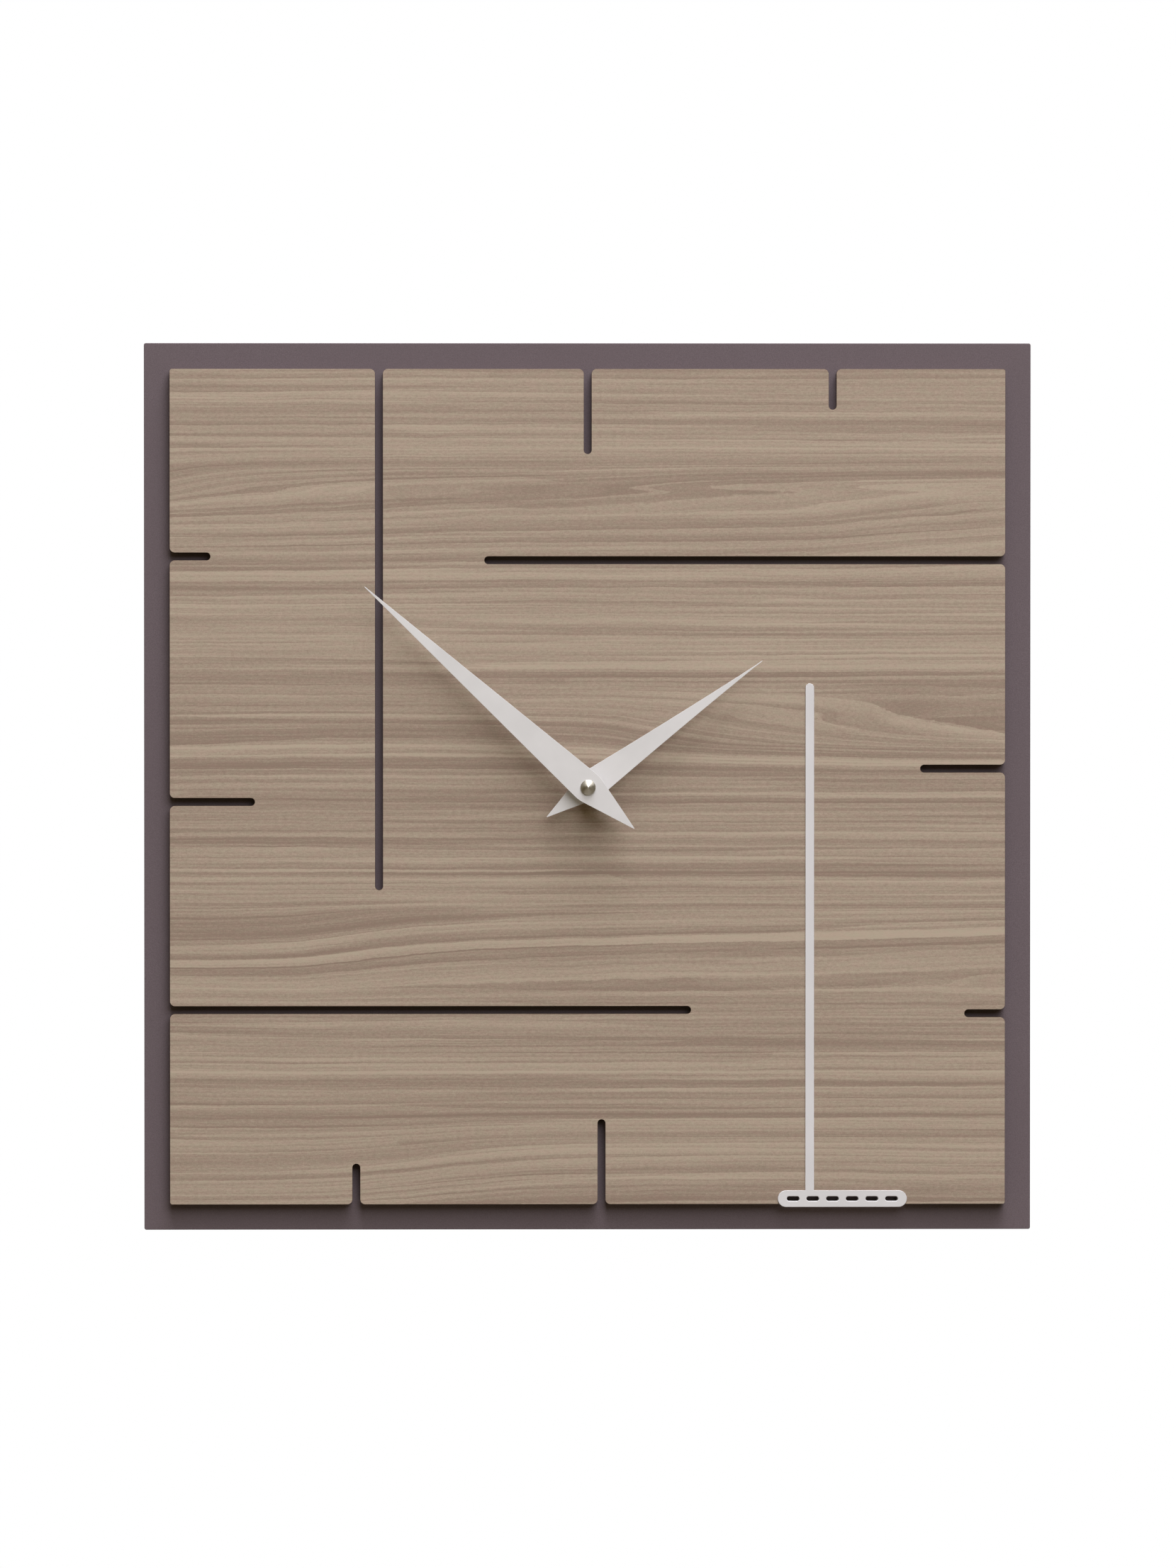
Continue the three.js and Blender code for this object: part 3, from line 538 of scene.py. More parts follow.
def cell_sleeve(left, right):
    """A printed sleeve: slate blue with one pale band near the positive end."""
    m = Finish("cell_sleeve", tone(52, 84, 124), roughness=0.3)
    m.set("Coat Weight", 0.4)
    m.set("Coat Roughness", 0.12)
    x, _, _ = m.axes()
    band_low = left + 0.76 * (right - left)
    band_high = left + 0.9 * (right - left)
    past_low = m.between(x, band_low - 0.05, band_low + 0.05)
    short_of_high = m.between(x, band_high - 0.05, band_high + 0.05, 1.0, 0.0)
    band = m.product(past_low, short_of_high)
    scuff = m.noise(m.scaled(120, 500, 500), 4, 0.7)
    base = m.blend(band, tone(50, 82, 122), tone(206, 208, 210))
    m.color(m.blend(m.between(scuff, 0.6, 0.8, 0, 0.3), base, tone(96, 116, 140)))
    m.rough(m.between(scuff, 0.4, 0.8, 0.26, 0.45))
    return m.material


def circuit():
    """Green solder mask over faint copper tracks."""
    m = Finish("circuit", tone(40, 100, 66), roughness=0.4)
    x, _, z = m.axes()
    tracks = m.math("SINE", m.product(m.math("ADD", x, z), 3.2))
    cloud = m.noise(m.even(300), 2)
    green = m.blend(m.between(tracks, 0.5, 0.7), tone(30, 84, 54), tone(52, 122, 78))
    m.color(m.blend(m.between(cloud, 0.4, 0.7, 0, 0.2), green, tone(60, 110, 70)))
    m.bump(m.between(tracks, 0.5, 0.7), 0.03)
    return m.material


# ---- outlines: anticlockwise (x, z) points in mm ----

def arc(x, z, radius, start, end, steps):
    """Points on an arc from start to end, in degrees; end may be less than start."""
    points = []
    for i in range(steps + 1):
        angle = math.radians(start + (end - start) * i / steps)
        points.append((x + radius * math.cos(angle), z + radius * math.sin(angle)))
    return points


def circle(x, z, radius, sides=48):
    return arc(x, z, radius, 0, 360, sides)[:-1]


def rounded(left, right, bottom, top, radius, steps):
    return (arc(right - radius, top - radius, radius, 0, 90, steps)
            + arc(left + radius, top - radius, radius, 90, 180, steps)
            + arc(left + radius, bottom + radius, radius, 180, 270, steps)
            + arc(right - radius, bottom + radius, radius, 270, 360, steps))


def obround(x, z, length, height, steps=14):
    """A bar with round ends."""
    radius = height / 2
    reach = length / 2 - radius
    return (arc(x + reach, z, radius, -90, 90, steps)
            + arc(x - reach, z, radius, 90, 270, steps))


def cross(x, z, reach, width):
    """The mouth of a cross recess, its arms slightly rounded."""
    points = []
    half = width / 2
    for quarter in range(4):
        turn = math.radians(90 * quarter)
        arm = arc(reach - half, 0, half, -90, 90, 4) + [(half * 1.25, half * 1.25)]
        for a, b in arm:
            points.append((x + a * math.cos(turn) - b * math.sin(turn),
                           z + a * math.sin(turn) + b * math.cos(turn)))
    return points


def inset(loop, amount):
    """The loop with its sides moved to their left, which is inwards when it runs anticlockwise."""
    if amount == 0:
        return list(loop)
    count = len(loop)
    result = []
    for i, (x, z) in enumerate(loop):
        before = Vector(loop[i]) - Vector(loop[i - 1])
        after = Vector(loop[(i + 1) % count]) - Vector(loop[i])
        left_before = Vector((-before.y, before.x)).normalized()
        left_after = Vector((-after.y, after.x)).normalized()
        inwards = (left_before + left_after).normalized()
        reach = amount / max(0.35, inwards.dot(left_before))
        result.append((x + inwards.x * reach, z + inwards.y * reach))
    return result


def tidy_loop(loop):
    """The loop without points that repeat the one before."""
    return [p for i, p in enumerate(loop) if math.dist(p, loop[i - 1]) > 1e-4]


def turned_loop(loop, degrees):
    """The loop turned clockwise about the origin, as seen from the front."""
    a = math.radians(degrees)
    return [(x * math.cos(a) + z * math.sin(a), z * math.cos(a) - x * math.sin(a)) for x, z in loop]


# ---- solids ----

def wall(back, front, back_radius, front_radius, steps):
    """The side of a slab from back to front, as (inset, y) pairs with rounded arrises."""
    side = []
    for i in range(steps + 1):
        a = math.radians(90 * i / steps)
        side.append((back_radius * (1 - math.sin(a)), back - back_radius * (1 - math.cos(a))))
    for i in range(steps + 1):
        a = math.radians(90 * i / steps)
        side.append((front_radius * (1 - math.cos(a)), front + front_radius * (1 - math.sin(a))))
    return [p for i, p in enumerate(side) if i == 0 or math.dist(p, side[i - 1]) > 1e-6]


class Slab:
    """A solid between a back and a front face, with holes through it and pockets in its back."""

    def __init__(self, outer, side):
        self.bm = bmesh.new()
        self.side = side
        self.back_rims = []
        self.front_rims = []
        rings = [self._ring(inset(outer, amount), y) for amount, y in side]
        self._skin(rings, outward=True)
        self.back_rims.append(rings[0])
        self.front_rims.append(rings[-1])

    def _ring(self, loop, y):
        return [self.bm.verts.new((x * MM, y * MM, z * MM)) for x, z in loop]

    def _skin(self, rings, outward):
        for back, front in zip(rings, rings[1:]):
            count = len(back)
            for i in range(count):
                j = (i + 1) % count
                quad = (back[i], front[i], front[j], back[j])
                self.bm.faces.new(quad if outward else quad[::-1])

    def hole(self, loop, side=None):
        """Cuts right through. "side" may round the hole's arrises, as (outset, y) pairs."""
        pairs = side or [(0, self.side[0][1]), (0, self.side[-1][1])]
        rings = [self._ring(inset(loop, -amount), y) for amount, y in pairs]
        self._skin(rings, outward=False)
        self.back_rims.append(rings[0])
        self.front_rims.append(rings[-1])

    def pocket(self, loop, depth, taper=0.0, lip=0.0):
        """Sinks a pocket into the back face, with a small bevelled lip."""
        start = self.side[0][1]
        pairs = [(lip, start)] if lip else []
        pairs += [(0, start - lip), (-taper, start - depth)]
        rings = [self._ring(inset(loop, -amount), y) for amount, y in pairs]
        self._skin(rings, outward=False)
        self.back_rims.append(rings[0])
        floor = self.bm.faces.new(rings[-1][::-1])
        bmesh.ops.triangulate(self.bm, faces=[floor])

    def _cap(self, rims, normal):
        edges = set()
        for rim in rims:
            for i, vert in enumerate(rim):
                edges.add(self.bm.edges.get((vert, rim[(i + 1) % len(rim)])))
        made = bmesh.ops.triangle_fill(self.bm, use_beauty=True, edges=list(edges), normal=normal)
        for face in (f for f in made["geom"] if isinstance(f, bmesh.types.BMFace)):
            face.normal_update()
            if face.normal.dot(Vector(normal)) < 0:
                face.normal_flip()

    def build(self, name, *materials, pick=None, smooth=35):
        self._cap(self.back_rims, (0, 1, 0))
        self._cap(self.front_rims, (0, -1, 0))
        return piece(name, self.bm, materials, pick, smooth)


def piece(name, bm, materials, pick=None, smooth=35):
    """Turns a bmesh into an object. "pick" gives each face's material number."""
    bm.normal_update()
    for face in bm.faces:
        face.smooth = True
        if pick:
            face.material_index = pick(face)
    mesh = bpy.data.meshes.new(name)
    bm.to_mesh(mesh)
    bm.free()
    mesh.set_sharp_from_angle(angle=math.radians(smooth))
    for material in materials:
        mesh.materials.append(material)
    made = bpy.data.objects.new(name, mesh)
    bpy.context.scene.collection.objects.link(made)
    return made


def lathe(name, profile, material, sides, axis=(0, 0), along="y", start=0.0):
    """Turns (radius, height) points in mm about Y through (x, z), or about X through (y, z)."""
    bm = bmesh.new()
    rings = []
    for radius, height in profile:
        ring = []
        for i in range(1 if radius == 0 else sides):
            a = 2 * math.pi * i / sides
            u = (axis[0] + radius * math.cos(a)) * MM
            w = (axis[1] + radius * math.sin(a)) * MM
            far = (start + height) * MM
            ring.append(bm.verts.new((u, far, w) if along == "y" else (far, u, w)))
        rings.append(ring)
    pairs = list(zip(rings, rings[1:]))
    if profile[0][0] > 0:
        pairs.append((rings[-1], rings[0]))
    for low, high in pairs:
        for i in range(sides):
            j = (i + 1) % sides
            corners = [low[i % len(low)], low[j % len(low)], high[j % len(high)], high[i % len(high)]]
            unique = [v for k, v in enumerate(corners) if v not in corners[:k]]
            if len(unique) > 2:
                bm.faces.new(unique)
    bmesh.ops.recalc_face_normals(bm, faces=bm.faces)
    return piece(name, bm, [material])


def millimetres(node):
    low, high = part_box(node)
    return [c / MM for c in low], [c / MM for c in high]


def outline_of(node, corner, steps):
    """A node's box seen from the front, with rounded corners."""
    low, high = millimetres(node)
    return rounded(low[0], high[0], low[2], high[2], corner, steps)


def side_of(node, back_radius, front_radius, steps):
    """The side of a slab as deep as a node."""
    low, high = millimetres(node)
    return wall(high[1], low[1], back_radius, front_radius, steps)


def middle(node):
    """The middle of a node's box, as (x, z)."""
    low, high = millimetres(node)
    return (low[0] + high[0]) / 2, (low[2] + high[2]) / 2


def settle(made, body, slot, *replaced):
    """The piece rides on a body and may stand for CAD nodes, which it hides. The slot is not used."""
    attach(made, body)
    if replaced:
        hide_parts(*replaced)


# ---- face ----

CLOCK = "clock_body"
PLATE_CORNER = 1.0
PANEL_CORNER = 1.2
SLOT_WIDTH = 4.0
SLOT_MOUTH = 2.5
DEEP, MIDDLE, SHORT = 264.2, 43.1, 20.6
SLOTS = {
    "bottom": [(-117.4, SHORT), (7, MIDDLE)],
    "right": [(-115, SHORT), (9.2, MIDDLE), (114.9, DEEP)],
    "top": [(-124.2, SHORT), (0, MIDDLE), (105.8, DEEP)],
    "left": [(-116.8, SHORT), (7.6, MIDDLE), (113.2, DEEP)],
}
STRIP_AT, STRIP_HALF = 112.65, 2.175
BUSH_HOLE = 4.4
THREAD_HOLE = 4.15
PANEL_LOW, PANEL_HIGH = millimetres("face_panel")
PANEL_HALF = PANEL_HIGH[0]
PANEL_BACK, PANEL_FRONT = PANEL_HIGH[1], PANEL_LOW[1]
FOOT_LOW, FOOT_HIGH = millimetres("accent_strip")
FOOT_LEFT, FOOT_RIGHT, FOOT_BOTTOM, STRIP_TOP = FOOT_LOW[0], FOOT_HIGH[0], FOOT_LOW[2], FOOT_HIGH[2]
FOOT_TOP = -204.9
FOOT_END = (FOOT_TOP - FOOT_BOTTOM) / 2
FOOT_MIDDLE = (FOOT_TOP + FOOT_BOTTOM) / 2


def accent_loop():
    """The strip on its foot."""
    top = STRIP_TOP - STRIP_HALF
    return (arc(FOOT_RIGHT - FOOT_END, FOOT_MIDDLE, FOOT_END, -90, 90, 20)
            + [(STRIP_AT + STRIP_HALF, FOOT_TOP)]
            + arc(STRIP_AT, top, STRIP_HALF, 0, 180, 20)
            + [(STRIP_AT - STRIP_HALF, FOOT_TOP)]
            + arc(FOOT_LEFT + FOOT_END, FOOT_MIDDLE, FOOT_END, 90, 270, 20))


def notch_points(gap):
    """The panel's edge round the strip and its foot, from left to right."""
    end = FOOT_END + gap
    dip = math.degrees(math.asin((FOOT_MIDDLE + PANEL_HALF) / end))
    half = STRIP_HALF + gap
    return (arc(FOOT_LEFT + FOOT_END, FOOT_MIDDLE, end, 180 + dip, 90, 16)
            + [(STRIP_AT - half, FOOT_TOP + gap)]
            + arc(STRIP_AT, STRIP_TOP - STRIP_HALF, half, 180, 0, 20)
            + [(STRIP_AT + half, FOOT_TOP + gap)]
            + arc(FOOT_RIGHT - FOOT_END, FOOT_MIDDLE, end, 90, -dip, 16))


def panel_loop():
    """The panel's outline with its slots, side by side from the bottom, anticlockwise."""
    turns = {"bottom": 0, "right": 90, "top": 180, "left": 270}
    half_slot = SLOT_WIDTH / 2
    points = []
    for side, turn in turns.items():
        low = -PANEL_HALF
        run = arc(low + PANEL_CORNER, low + PANEL_CORNER, PANEL_CORNER, 225, 270, 4)
        for at, depth in SLOTS[side]:
            run += arc(at - half_slot - SLOT_MOUTH, low + SLOT_MOUTH, SLOT_MOUTH, 270, 360, 10)
            run += arc(at, low + depth - half_slot, half_slot, 180, 0, 20)
            run += arc(at + half_slot + SLOT_MOUTH, low + SLOT_MOUTH, SLOT_MOUTH, 180, 270, 10)
        if side == "bottom":
            run += notch_points(0.03)
        run += arc(-low - PANEL_CORNER, low + PANEL_CORNER, PANEL_CORNER, 270, 315, 4)
        points += turned_loop(run, -turn)
    return tidy_loop(points)


def make_face():
    panel = Slab(panel_loop(), wall(PANEL_BACK, PANEL_FRONT, 0, 0.05, 2))
    panel.hole(circle(0, 0, BUSH_HOLE))
    veneer_depth = 0.6
    top_of_core = (PANEL_FRONT + veneer_depth) * MM

    def front_or_edge(face):
        return 0 if face.normal.y < -0.35 and face.calc_center_median().y < top_of_core else 1

    made = panel.build("face_panel_veneered", veneer(), cut_edge(), pick=front_or_edge)
    settle(made, CLOCK, "veneer", "face_panel")

    plate = Slab(outline_of("back_plate", PLATE_CORNER, 5), side_of("back_plate", 0.3, 0.3, 3))
    plate.hole(circle(0, 0, BUSH_HOLE))
    settle(plate.build("back_plate_lacquered", lacquer()), CLOCK, "lacquer", "back_plate")

    accent = Slab(tidy_loop(accent_loop()), side_of("accent_strip", 0, 0.15, 3))
    windows, pitch, length, height = 6, 10, 6.4, 2.4
    for i in range(windows):
        x = (FOOT_LEFT + FOOT_RIGHT) / 2 + (i - (windows - 1) / 2) * pitch
        window = tidy_loop(obround(x, FOOT_MIDDLE, length, height))
        accent.hole(window, side_of("accent_strip", 0, 0.25, 3))
    settle(accent.build("accent_strip_moulded", pale_plastic()), CLOCK, "pale_acrylic", "accent_strip")


# ---- hands ----

MINUTE = {"tip": 152, "tail": 31.4, "half": 8, "widest": -0.5, "turn": -48.1}
HOUR = {"tip": 109.2, "tail": 25.8, "half": 7.6, "widest": 1.5, "hollow": 1.7, "turn": 54.1}


def hand_loop(right_side, turn):
    """A hand from its right side, listed from tip to tail as (half width, distance)."""
    left_side = [(-x, z) for x, z in right_side[1:-1]]
    return turned_loop(left_side + [right_side[-1]] + right_side[-2:0:-1] + [right_side[0]], turn)


def soft_corner(before, corner, after):
    """A quadratic curve from before to after that leans on corner."""
    steps = 6
    points = []
    for i in range(steps + 1):
        t = i / steps
        start, lean, end = (1 - t) ** 2, 2 * t * (1 - t), t * t
        points.append(tuple(start * a + lean * b + end * c for a, b, c in zip(before, corner, after)))
    return points


def minute_side():
    tip, tail, half, widest = MINUTE["tip"], MINUTE["tail"], MINUTE["half"], MINUTE["widest"]
    nose = [(0, tip), (0.08, tip - 0.15), (0.2, tip - 0.6)]
    corner = soft_corner((half - 0.16, widest + 3), (half + 0.02, widest), (half - 0.5, widest - 2))
    return nose + corner + [(0.35, -tail + 0.7), (0.18, -tail + 0.15), (0, -tail)]


def hour_side():
    tip, tail, half, widest, hollow = (HOUR[k] for k in ("tip", "tail", "half", "widest", "hollow"))
    steps = 24
    edge = []
    for i in range(steps - 1, 0, -1):
        u = i / steps
        edge.append((half * (1 - u) - hollow * u * (1 - u), widest + u * (tip - widest)))
    nose = [(0, tip), (0.08, tip - 0.15), (0.18, tip - 0.6)]
    corner = soft_corner((half - 0.25, widest + 2), (half + 0.05, widest), (half - 0.62, widest - 2.2))
    return nose + edge + corner + [(0.35, -tail + 0.8), (0.18, -tail + 0.15), (0, -tail)]


def make_hands():
    enamel = hand_enamel()
    for name, side, turn, hole, body in (
        ("minute_hand", minute_side(), MINUTE["turn"], 1.3, "minute_assembly"),
        ("hour_hand", hour_side(), HOUR["turn"], 2.6, "hour_assembly"),
    ):
        hand = Slab(hand_loop(side, turn), side_of(name, 0.04, 0.06, 2))
        hand.hole(circle(0, 0, hole, 40))
        settle(hand.build(f"{name}_enamelled", enamel, smooth=40), body, "hand_paint", name)

    low, high = millimetres("cap_nut")
    base, tip, radius = high[1], low[1], high[0]
    skirt = base - 0.7  # where the cone begins
    point = 0.3  # radius of its blunt end
    profile = [(1.35, base), (radius - 0.1, base), (radius, base - 0.1), (radius, skirt + 0.08)]
    for share in (0.02, 0.08, 0.5, 0.9, 0.97):
        profile.append((radius - share * (radius - point), skirt - share * (skirt - tip)))
    profile += [(point, tip + 0.1), (point / 2, tip + 0.02), (0, tip), (0, tip + 0.8), (1.35, tip + 1.3)]
    steel = turned_metal("cap_steel", tone(188, 182, 170), 0.48, 5)
    settle(lathe("cap_nut_turned", profile, steel, 96), "minute_assembly", "steel", "cap_nut")


# ---- frame behind the plate ----

BATTEN_SCREWS = [f"batten_screw_{i}" for i in range(1, 9)]
HANGER_SCREWS = ["hanger_screw_1", "hanger_screw_2"]


def make_screw(node, material, head_radius, reach):
    """A countersunk screw with a cross recess that reaches so far from its middle."""
    low, high = millimetres(node)
    x, z = middle(node)
    back, tip = high[1], low[1]
    shank = head_radius * 0.48
    taper = head_radius - shank
    body = Slab(circle(x, z, head_radius, 40), [
        (0.12, back), (0.03, back - 0.05), (0, back - 0.14), (0, back - 0.3), (taper, back - 0.3 - taper),
        (taper, tip + 2), (taper + shank * 0.5, tip + 1), (taper + shank * 0.93, tip),
    ])
    body.pocket(cross(x, z, reach, reach * 0.36), 1.5, taper=-reach * 0.08, lip=0.05)
    settle(body.build(f"{node}_head", material), CLOCK, "steel", node)


def make_batten(node, material, pocket=None):
    """A batten with eased edges, a hole for each screw in it, and a pocket if it is given one."""
    low, high = millimetres(node)
    slab = Slab(outline_of(node, 0.8, 3), side_of(node, 0.8, 0, 3))
    for screw in BATTEN_SCREWS + HANGER_SCREWS:
        x, z = middle(screw)
        if low[0] < x < high[0] and low[2] < z < high[2]:
            radius = 1.7 if screw in HANGER_SCREWS else millimetres(screw)[1][0] - x + 0.1
            slab.pocket(circle(x, z, radius, 40), 14)
    if pocket:
        slab.pocket(*pocket)
    settle(slab.build(f"{node}_planed", material), CLOCK, "pine", node)


def keyhole_loop():
    """A round entry for a screw's head, and a slot above it for the shank."""
    entry, slot, z, rise = 4.7, 2.3, 120.5, 11.5
    meet = math.degrees(math.acos(slot / entry))
    return arc(0, z, entry, 180 - meet, 360 + meet, 24) + arc(0, z + rise, slot, 0, 180, 12)


def make_back_frame():
    along_x, along_z = pine("pine_along_x", "x"), pine("pine_along_z", "z")
    keyhole_pocket = (rounded(-7.5, 7.5, 114, 137.5, 3, 6), 10.5)
    make_batten("batten_top", along_x, keyhole_pocket)
    make_batten("batten_bottom", along_x)
    make_batten("batten_left", along_z)
    make_batten("batten_right", along_z)
    zinc = metal("screw_zinc", tone(186, 184, 178), 0.32)
    for screw in BATTEN_SCREWS:
        make_screw(screw, zinc, 3.6, 2.1)
    for screw in HANGER_SCREWS:
        make_screw(screw, zinc, 2.8, 1.65)

    low, high = millimetres("hanger_plate")
    hanger = Slab(outline_of("hanger_plate", 4, 8), side_of("hanger_plate", 0.2, 0.1, 3))
    hanger.hole(tidy_loop(keyhole_loop()), side_of("hanger_plate", 0.15, 0.05, 3))
    for screw in HANGER_SCREWS:
        hanger.hole(circle(*middle(screw), 1.62, 40), [(1.28, high[1]), (0, low[1])])
    plated = metal("hanger_zinc", tone(192, 190, 182), 0.3, streaks=(60, 900, 1800), bump_mm=0.003)
    settle(hanger.build("hanger_plate_pressed", plated), CLOCK, "steel", "hanger_plate")

    pad_felt = felt()
    for node in (f"wall_pad_{i}" for i in range(1, 5)):
        low, high = millimetres(node)
        pad = Slab(circle(*middle(node), (high[0] - low[0]) / 2, 56), side_of(node, 0.35, 0.05, 4))
        settle(pad.build(f"{node}_felt", pad_felt), CLOCK, "felt", node)


# ---- movement ----

def make_fixing():
    brass = turned_metal("fixing_brass", tone(198, 164, 92), 0.28)
    _, high = millimetres("washer")
    washer = Slab(circle(0, 0, high[0], 72), side_of("washer", 0.08, 0.12, 3))
    washer.hole(circle(0, 0, THREAD_HOLE, 48))
    settle(washer.build("washer_pressed", brass), CLOCK, "brass", "washer")

    low, high = millimetres("hex_nut")
    reach = high[0] - 0.4
    loop = []
    for corner in range(0, 360, 60):
        a = math.radians(corner)
        loop += arc(reach * math.cos(a), reach * math.sin(a), 0.38, corner - 30, corner + 30, 3)
    chamfer = 0.35
    nut = Slab(loop, [(chamfer, high[1]), (0, high[1] - chamfer),
                      (0, low[1] + chamfer), (chamfer, low[1])])
    nut.hole(circle(0, 0, THREAD_HOLE, 48), side_of("hex_nut", 0.2, 0.2, 2))
    settle(nut.build("hex_nut_milled", brass), CLOCK, "brass", "hex_nut")

    _, high = millimetres("gasket")
    gasket = Slab(circle(0, 0, high[0], 64), side_of("gasket", 0.2, 0.1, 2))
    gasket.hole(circle(0, 0, BUSH_HOLE, 40))
    rubber = plastic("gasket_rubber", tone(38, 37, 37), 0.8, 0.03, 1500, 0.2)
    settle(gasket.build("gasket_rubber_ring", rubber), CLOCK, "rubber", "gasket")


def bush_profile(start, end):
    """A bush with ridges for its thread, from start forwards to end."""
    radius, bore, pitch, depth = 4.0, 2.65, 0.75, 0.28
    profile = [(bore, start), (radius, start)]
    y = start - 2
    while y - pitch > end + 0.4:
        profile += [(radius, y), (radius - depth, y - pitch / 2)]
        y -= pitch
    return profile + [(radius - 0.1, end + 0.3), (radius - 0.3, end), (bore + 0.1, end), (bore, end + 0.1)]


def make_case():
    abs_black = plastic("case_abs", tone(42, 43, 46), 0.46, 0.025, 1600, 0.08)
    low, high = millimetres("case_front")
    rim, tip = high[1], low[1]
    face, skin, inside = -19.0, 1.2, 27
    works_bottom, bay_top = -11, -12.4
    floor_depth = rim - (face + skin)
    shell = Slab(outline_of("case_front", 3, 8), wall(rim, face, 0.15, 0.7, 4))
    shell.pocket(rounded(-inside, inside, works_bottom, inside, 2, 6), floor_depth)
    shell.pocket(rounded(-inside, inside, -inside, bay_top, 0.4, 3), floor_depth)
    settle(shell.build("case_front_moulded", abs_black), CLOCK, "case_plastic", "case_front")
    settle(lathe("case_bush", bush_profile(face + 0.4, tip), abs_black, 56), CLOCK, "case_plastic")

    back = millimetres("case_back")[1][1]
    cover_front = back - skin
    knob_x, knob_z = middle("setting_knob")
    cover = Slab(outline_of("case_back", 2, 8), wall(back, cover_front, 0.45, 0.05, 4))
    cover.hole(circle(knob_x, knob_z, 5.6, 64), wall(back, cover_front, 0.3, 0.05, 3))
    cover.pocket(rounded(1.5, 25, -6, 24.5, 1.2, 6), 0.35, lip=0.08)
    for k in range(7):
        groove = obround(-14, 12 + 1.9 * k, 20, 0.9, 6)
        cover.pocket(tidy_loop(groove), 0.5, lip=0.06)
    settle(cover.build("case_back_moulded", abs_black), CLOCK, "case_plastic", "case_back")
    make_cover_marks(back, knob_x, knob_z)


def raised(name, loop, y, material):
    """A low mark on the case's back."""
    mark = Slab(loop, wall(y + 0.15, y - 0.05, 0.06, 0, 2))
    settle(mark.build(name, material), CLOCK, "case_plastic")


def make_cover_marks(y, knob_x, knob_z):
    """Turning arrow round the knob and the poles' marks by the battery bay."""
    ink = plastic("mark_abs", tone(74, 75, 79), 0.4, 0.01, 1600, 0.05)
    start, end = 35, 145
    outer = arc(knob_x, knob_z, 7.4, start, end, 20)
    inner = arc(knob_x, knob_z, 6.8, end, start, 20)
    raised("setting_arrow_bow", outer + inner, y, ink)
    cos, sin = math.cos(math.radians(start)), math.sin(math.radians(start))
    head = []
    for ahead, outwards in ((1.7, 0), (-0.3, 1.05), (-0.3, -1.05)):
        reach = 7.1 + outwards
        head.append((knob_x + reach * cos + ahead * sin, knob_z + reach * sin - ahead * cos))
    raised("setting_arrow_head", head, y, ink)
    z, half, reach = -9.4, 0.35, 1.5
    left, right = 21.6, 24.6
    x = (left + right) / 2
    raised("plus_mark_across", rounded(left, right, z - half, z + half, 0.1, 2), y, ink)
    raised("plus_mark_upper", rounded(x - half, x + half, z + half, z + reach, 0.1, 2), y, ink)
    raised("plus_mark_lower", rounded(x - half, x + half, z - reach, z - half, 0.1, 2), y, ink)
    raised("minus_mark", rounded(-right, -left, z - half, z + half, 0.1, 2), y, ink)


def make_knob():
    low, high = millimetres("setting_knob")
    x, z = middle("setting_knob")
    radius, ribs = (high[0] - low[0]) / 2, 30
    loop = []
    for i in range(ribs * 4):
        a = 2 * math.pi * i / (ribs * 4)
        r = radius - 0.14 + 0.14 * math.cos(ribs * a)
        loop.append((x + r * math.cos(a), z + r * math.sin(a)))
    ivory = plastic("knob_plastic", tone(222, 218, 208), 0.42, 0.015, 1500, 0.04)
    knob = Slab(loop, side_of("setting_knob", 0.35, 0.1, 3))
    knob.pocket(circle(x, z, radius - 1.1, 48), 0.5, lip=0.1)
    settle(knob.build("setting_knob_ribbed", ivory), "setting_assembly", "knob_plastic", "setting_knob")
    grip = rounded(x - 2.9, x + 2.9, z - 0.7, z + 0.7, 0.4, 4)
    bar = Slab(grip, wall(high[1] - 0.1, high[1] - 0.55, 0.15, 0, 2))
    settle(bar.build("setting_knob_bar", ivory), "setting_assembly", "knob_plastic")


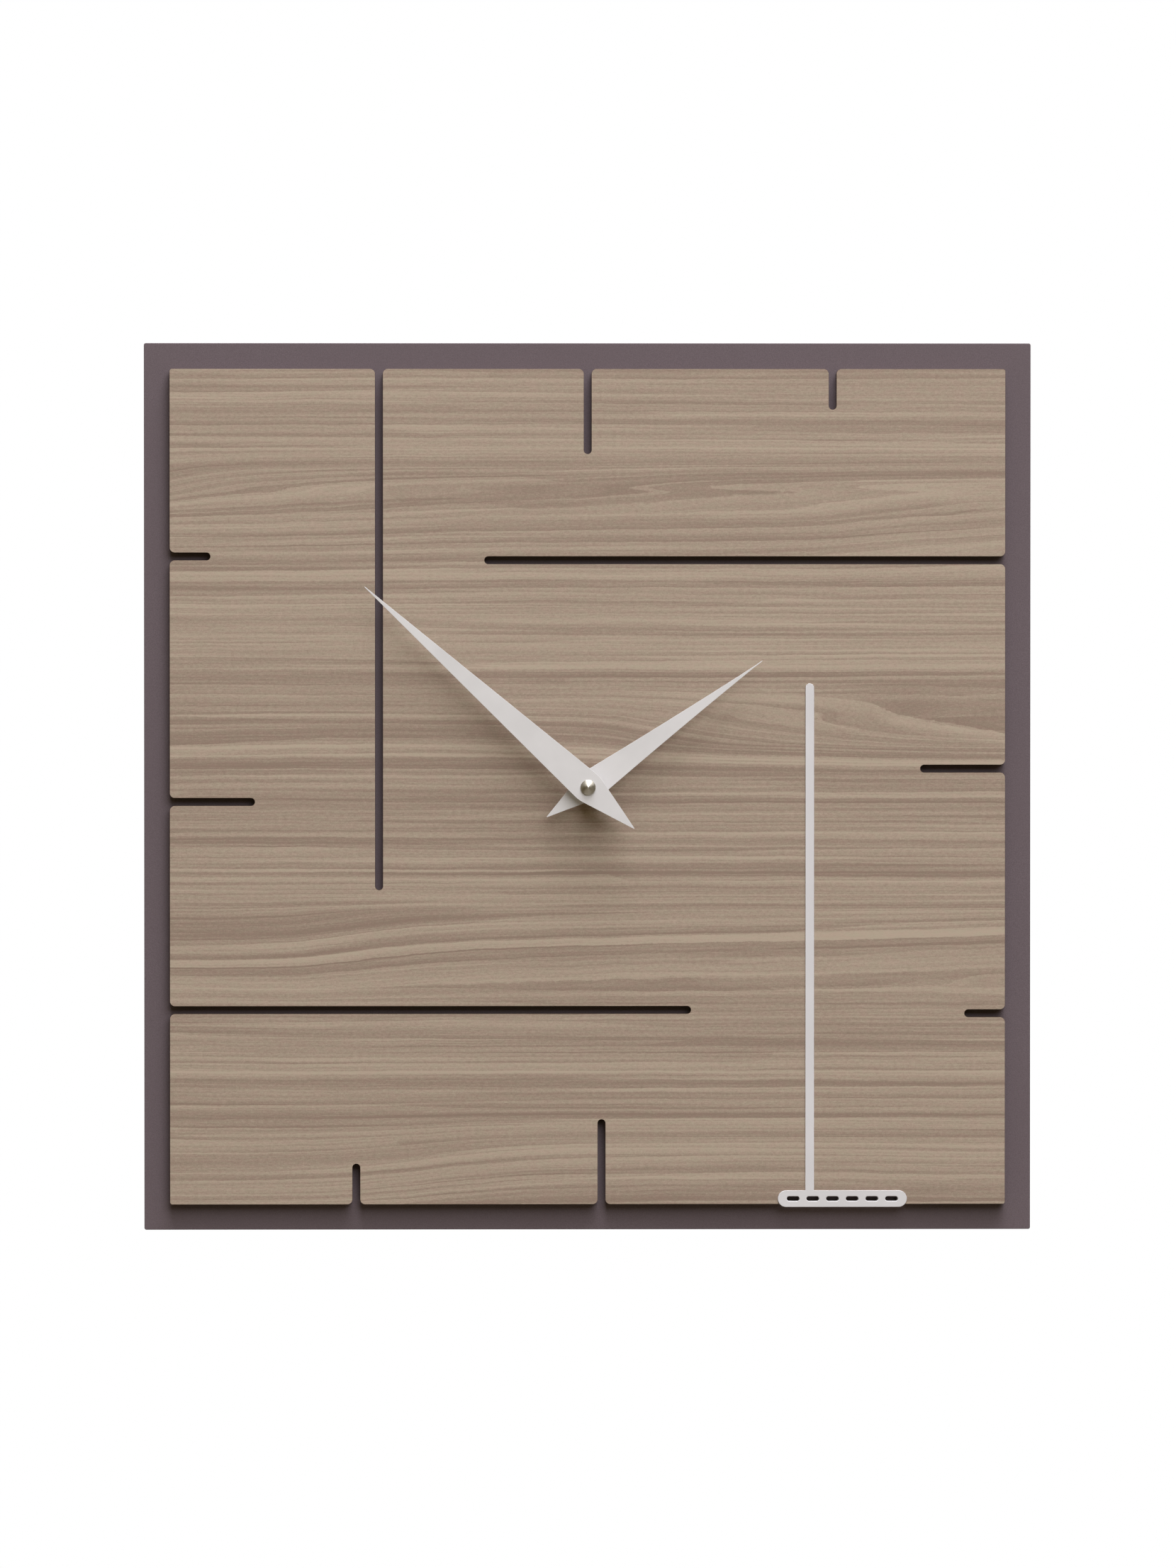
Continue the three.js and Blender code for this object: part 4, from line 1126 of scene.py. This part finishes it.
def make_battery():
    low, high = millimetres("battery")
    axis = ((low[1] + high[1]) / 2, (low[2] + high[2]) / 2)
    radius = (high[2] - low[2]) / 2
    nub = 1.2
    left, right = low[0], high[0] - nub
    length = right - left
    lip = radius - 0.9
    sleeve = [(lip, 0.05), (radius - 0.5, 0.05), (radius - 0.15, 0.2), (radius, 0.5),
              (radius, length - 0.5), (radius - 0.15, length - 0.15), (radius - 0.5, length),
              (lip, length), (lip, length - 0.3), (lip, 0.3)]
    made = lathe("battery_sleeve", sleeve, cell_sleeve(left, right), 72, axis, "x", left)
    settle(made, "cell", "battery_wrapper", "battery")
    nickel = metal("cell_nickel", tone(196, 194, 188), 0.22)
    disc = radius - 0.95
    base = [(0, 0), (radius - 1.4, 0), (disc, 0.12), (disc, 1.2), (0, 1.2)]
    settle(lathe("battery_negative_end", base, nickel, 56, axis, "x", left), "cell", "battery_wrapper")
    cap = [(0, -1.2), (disc, -1.2), (disc, -0.1), (radius - 1.2, -0.02), (3.2, -0.02), (2.75, 0.2),
           (2.72, 0.95), (2.6, 1.12), (2.4, 1.19), (0, nub)]
    settle(lathe("battery_positive_end", cap, nickel, 56, axis, "x", right), "cell", "battery_wrapper")


# ---- CAD nodes that keep their shape ----


def dress(names, material):
    """Gives CAD nodes a material of their own; their shapes stay as they are."""
    for name in names:
        mesh = nodes[name].data
        mesh.materials.clear()
        mesh.materials.append(material)
        mesh.polygons.foreach_set("material_index", [0] * len(mesh.polygons))


def dress_inner_parts():
    wheel = plastic("wheel_acetal", tone(230, 226, 214), 0.4, 0.008, 1800, 0.03)
    dress(["train_plate", "coil_bobbin", "rotor_pinion", "intermediate_wheel", "second_wheel",
           "third_wheel", "centre_wheel", "setting_wheel"], wheel)
    dress(["minute_shaft", "hour_wheel"], turned_metal("shaft_brass", tone(196, 162, 92), 0.26))
    dress(["positive_contact", "negative_contact"], metal("contact_nickel", tone(190, 188, 180), 0.25))
    dress(["quartz_crystal"], metal("crystal_can", tone(200, 200, 198), 0.2))
    dress(["stator"], metal("stator_iron", tone(150, 150, 152), 0.35, streaks=(80, 900, 900)))
    dress(["rotor_magnet"], metal("magnet", tone(92, 92, 96), 0.4))
    dress(["coil_winding"], winding())
    dress(["circuit_board"], circuit())
    dress(["chip"], plastic("epoxy", tone(24, 24, 25), 0.3, 0.01, 900, 0.15))


make_camera()
make_stage()
make_face()
make_hands()
make_back_frame()
make_fixing()
make_case()
make_knob()
make_battery()
dress_inner_parts()
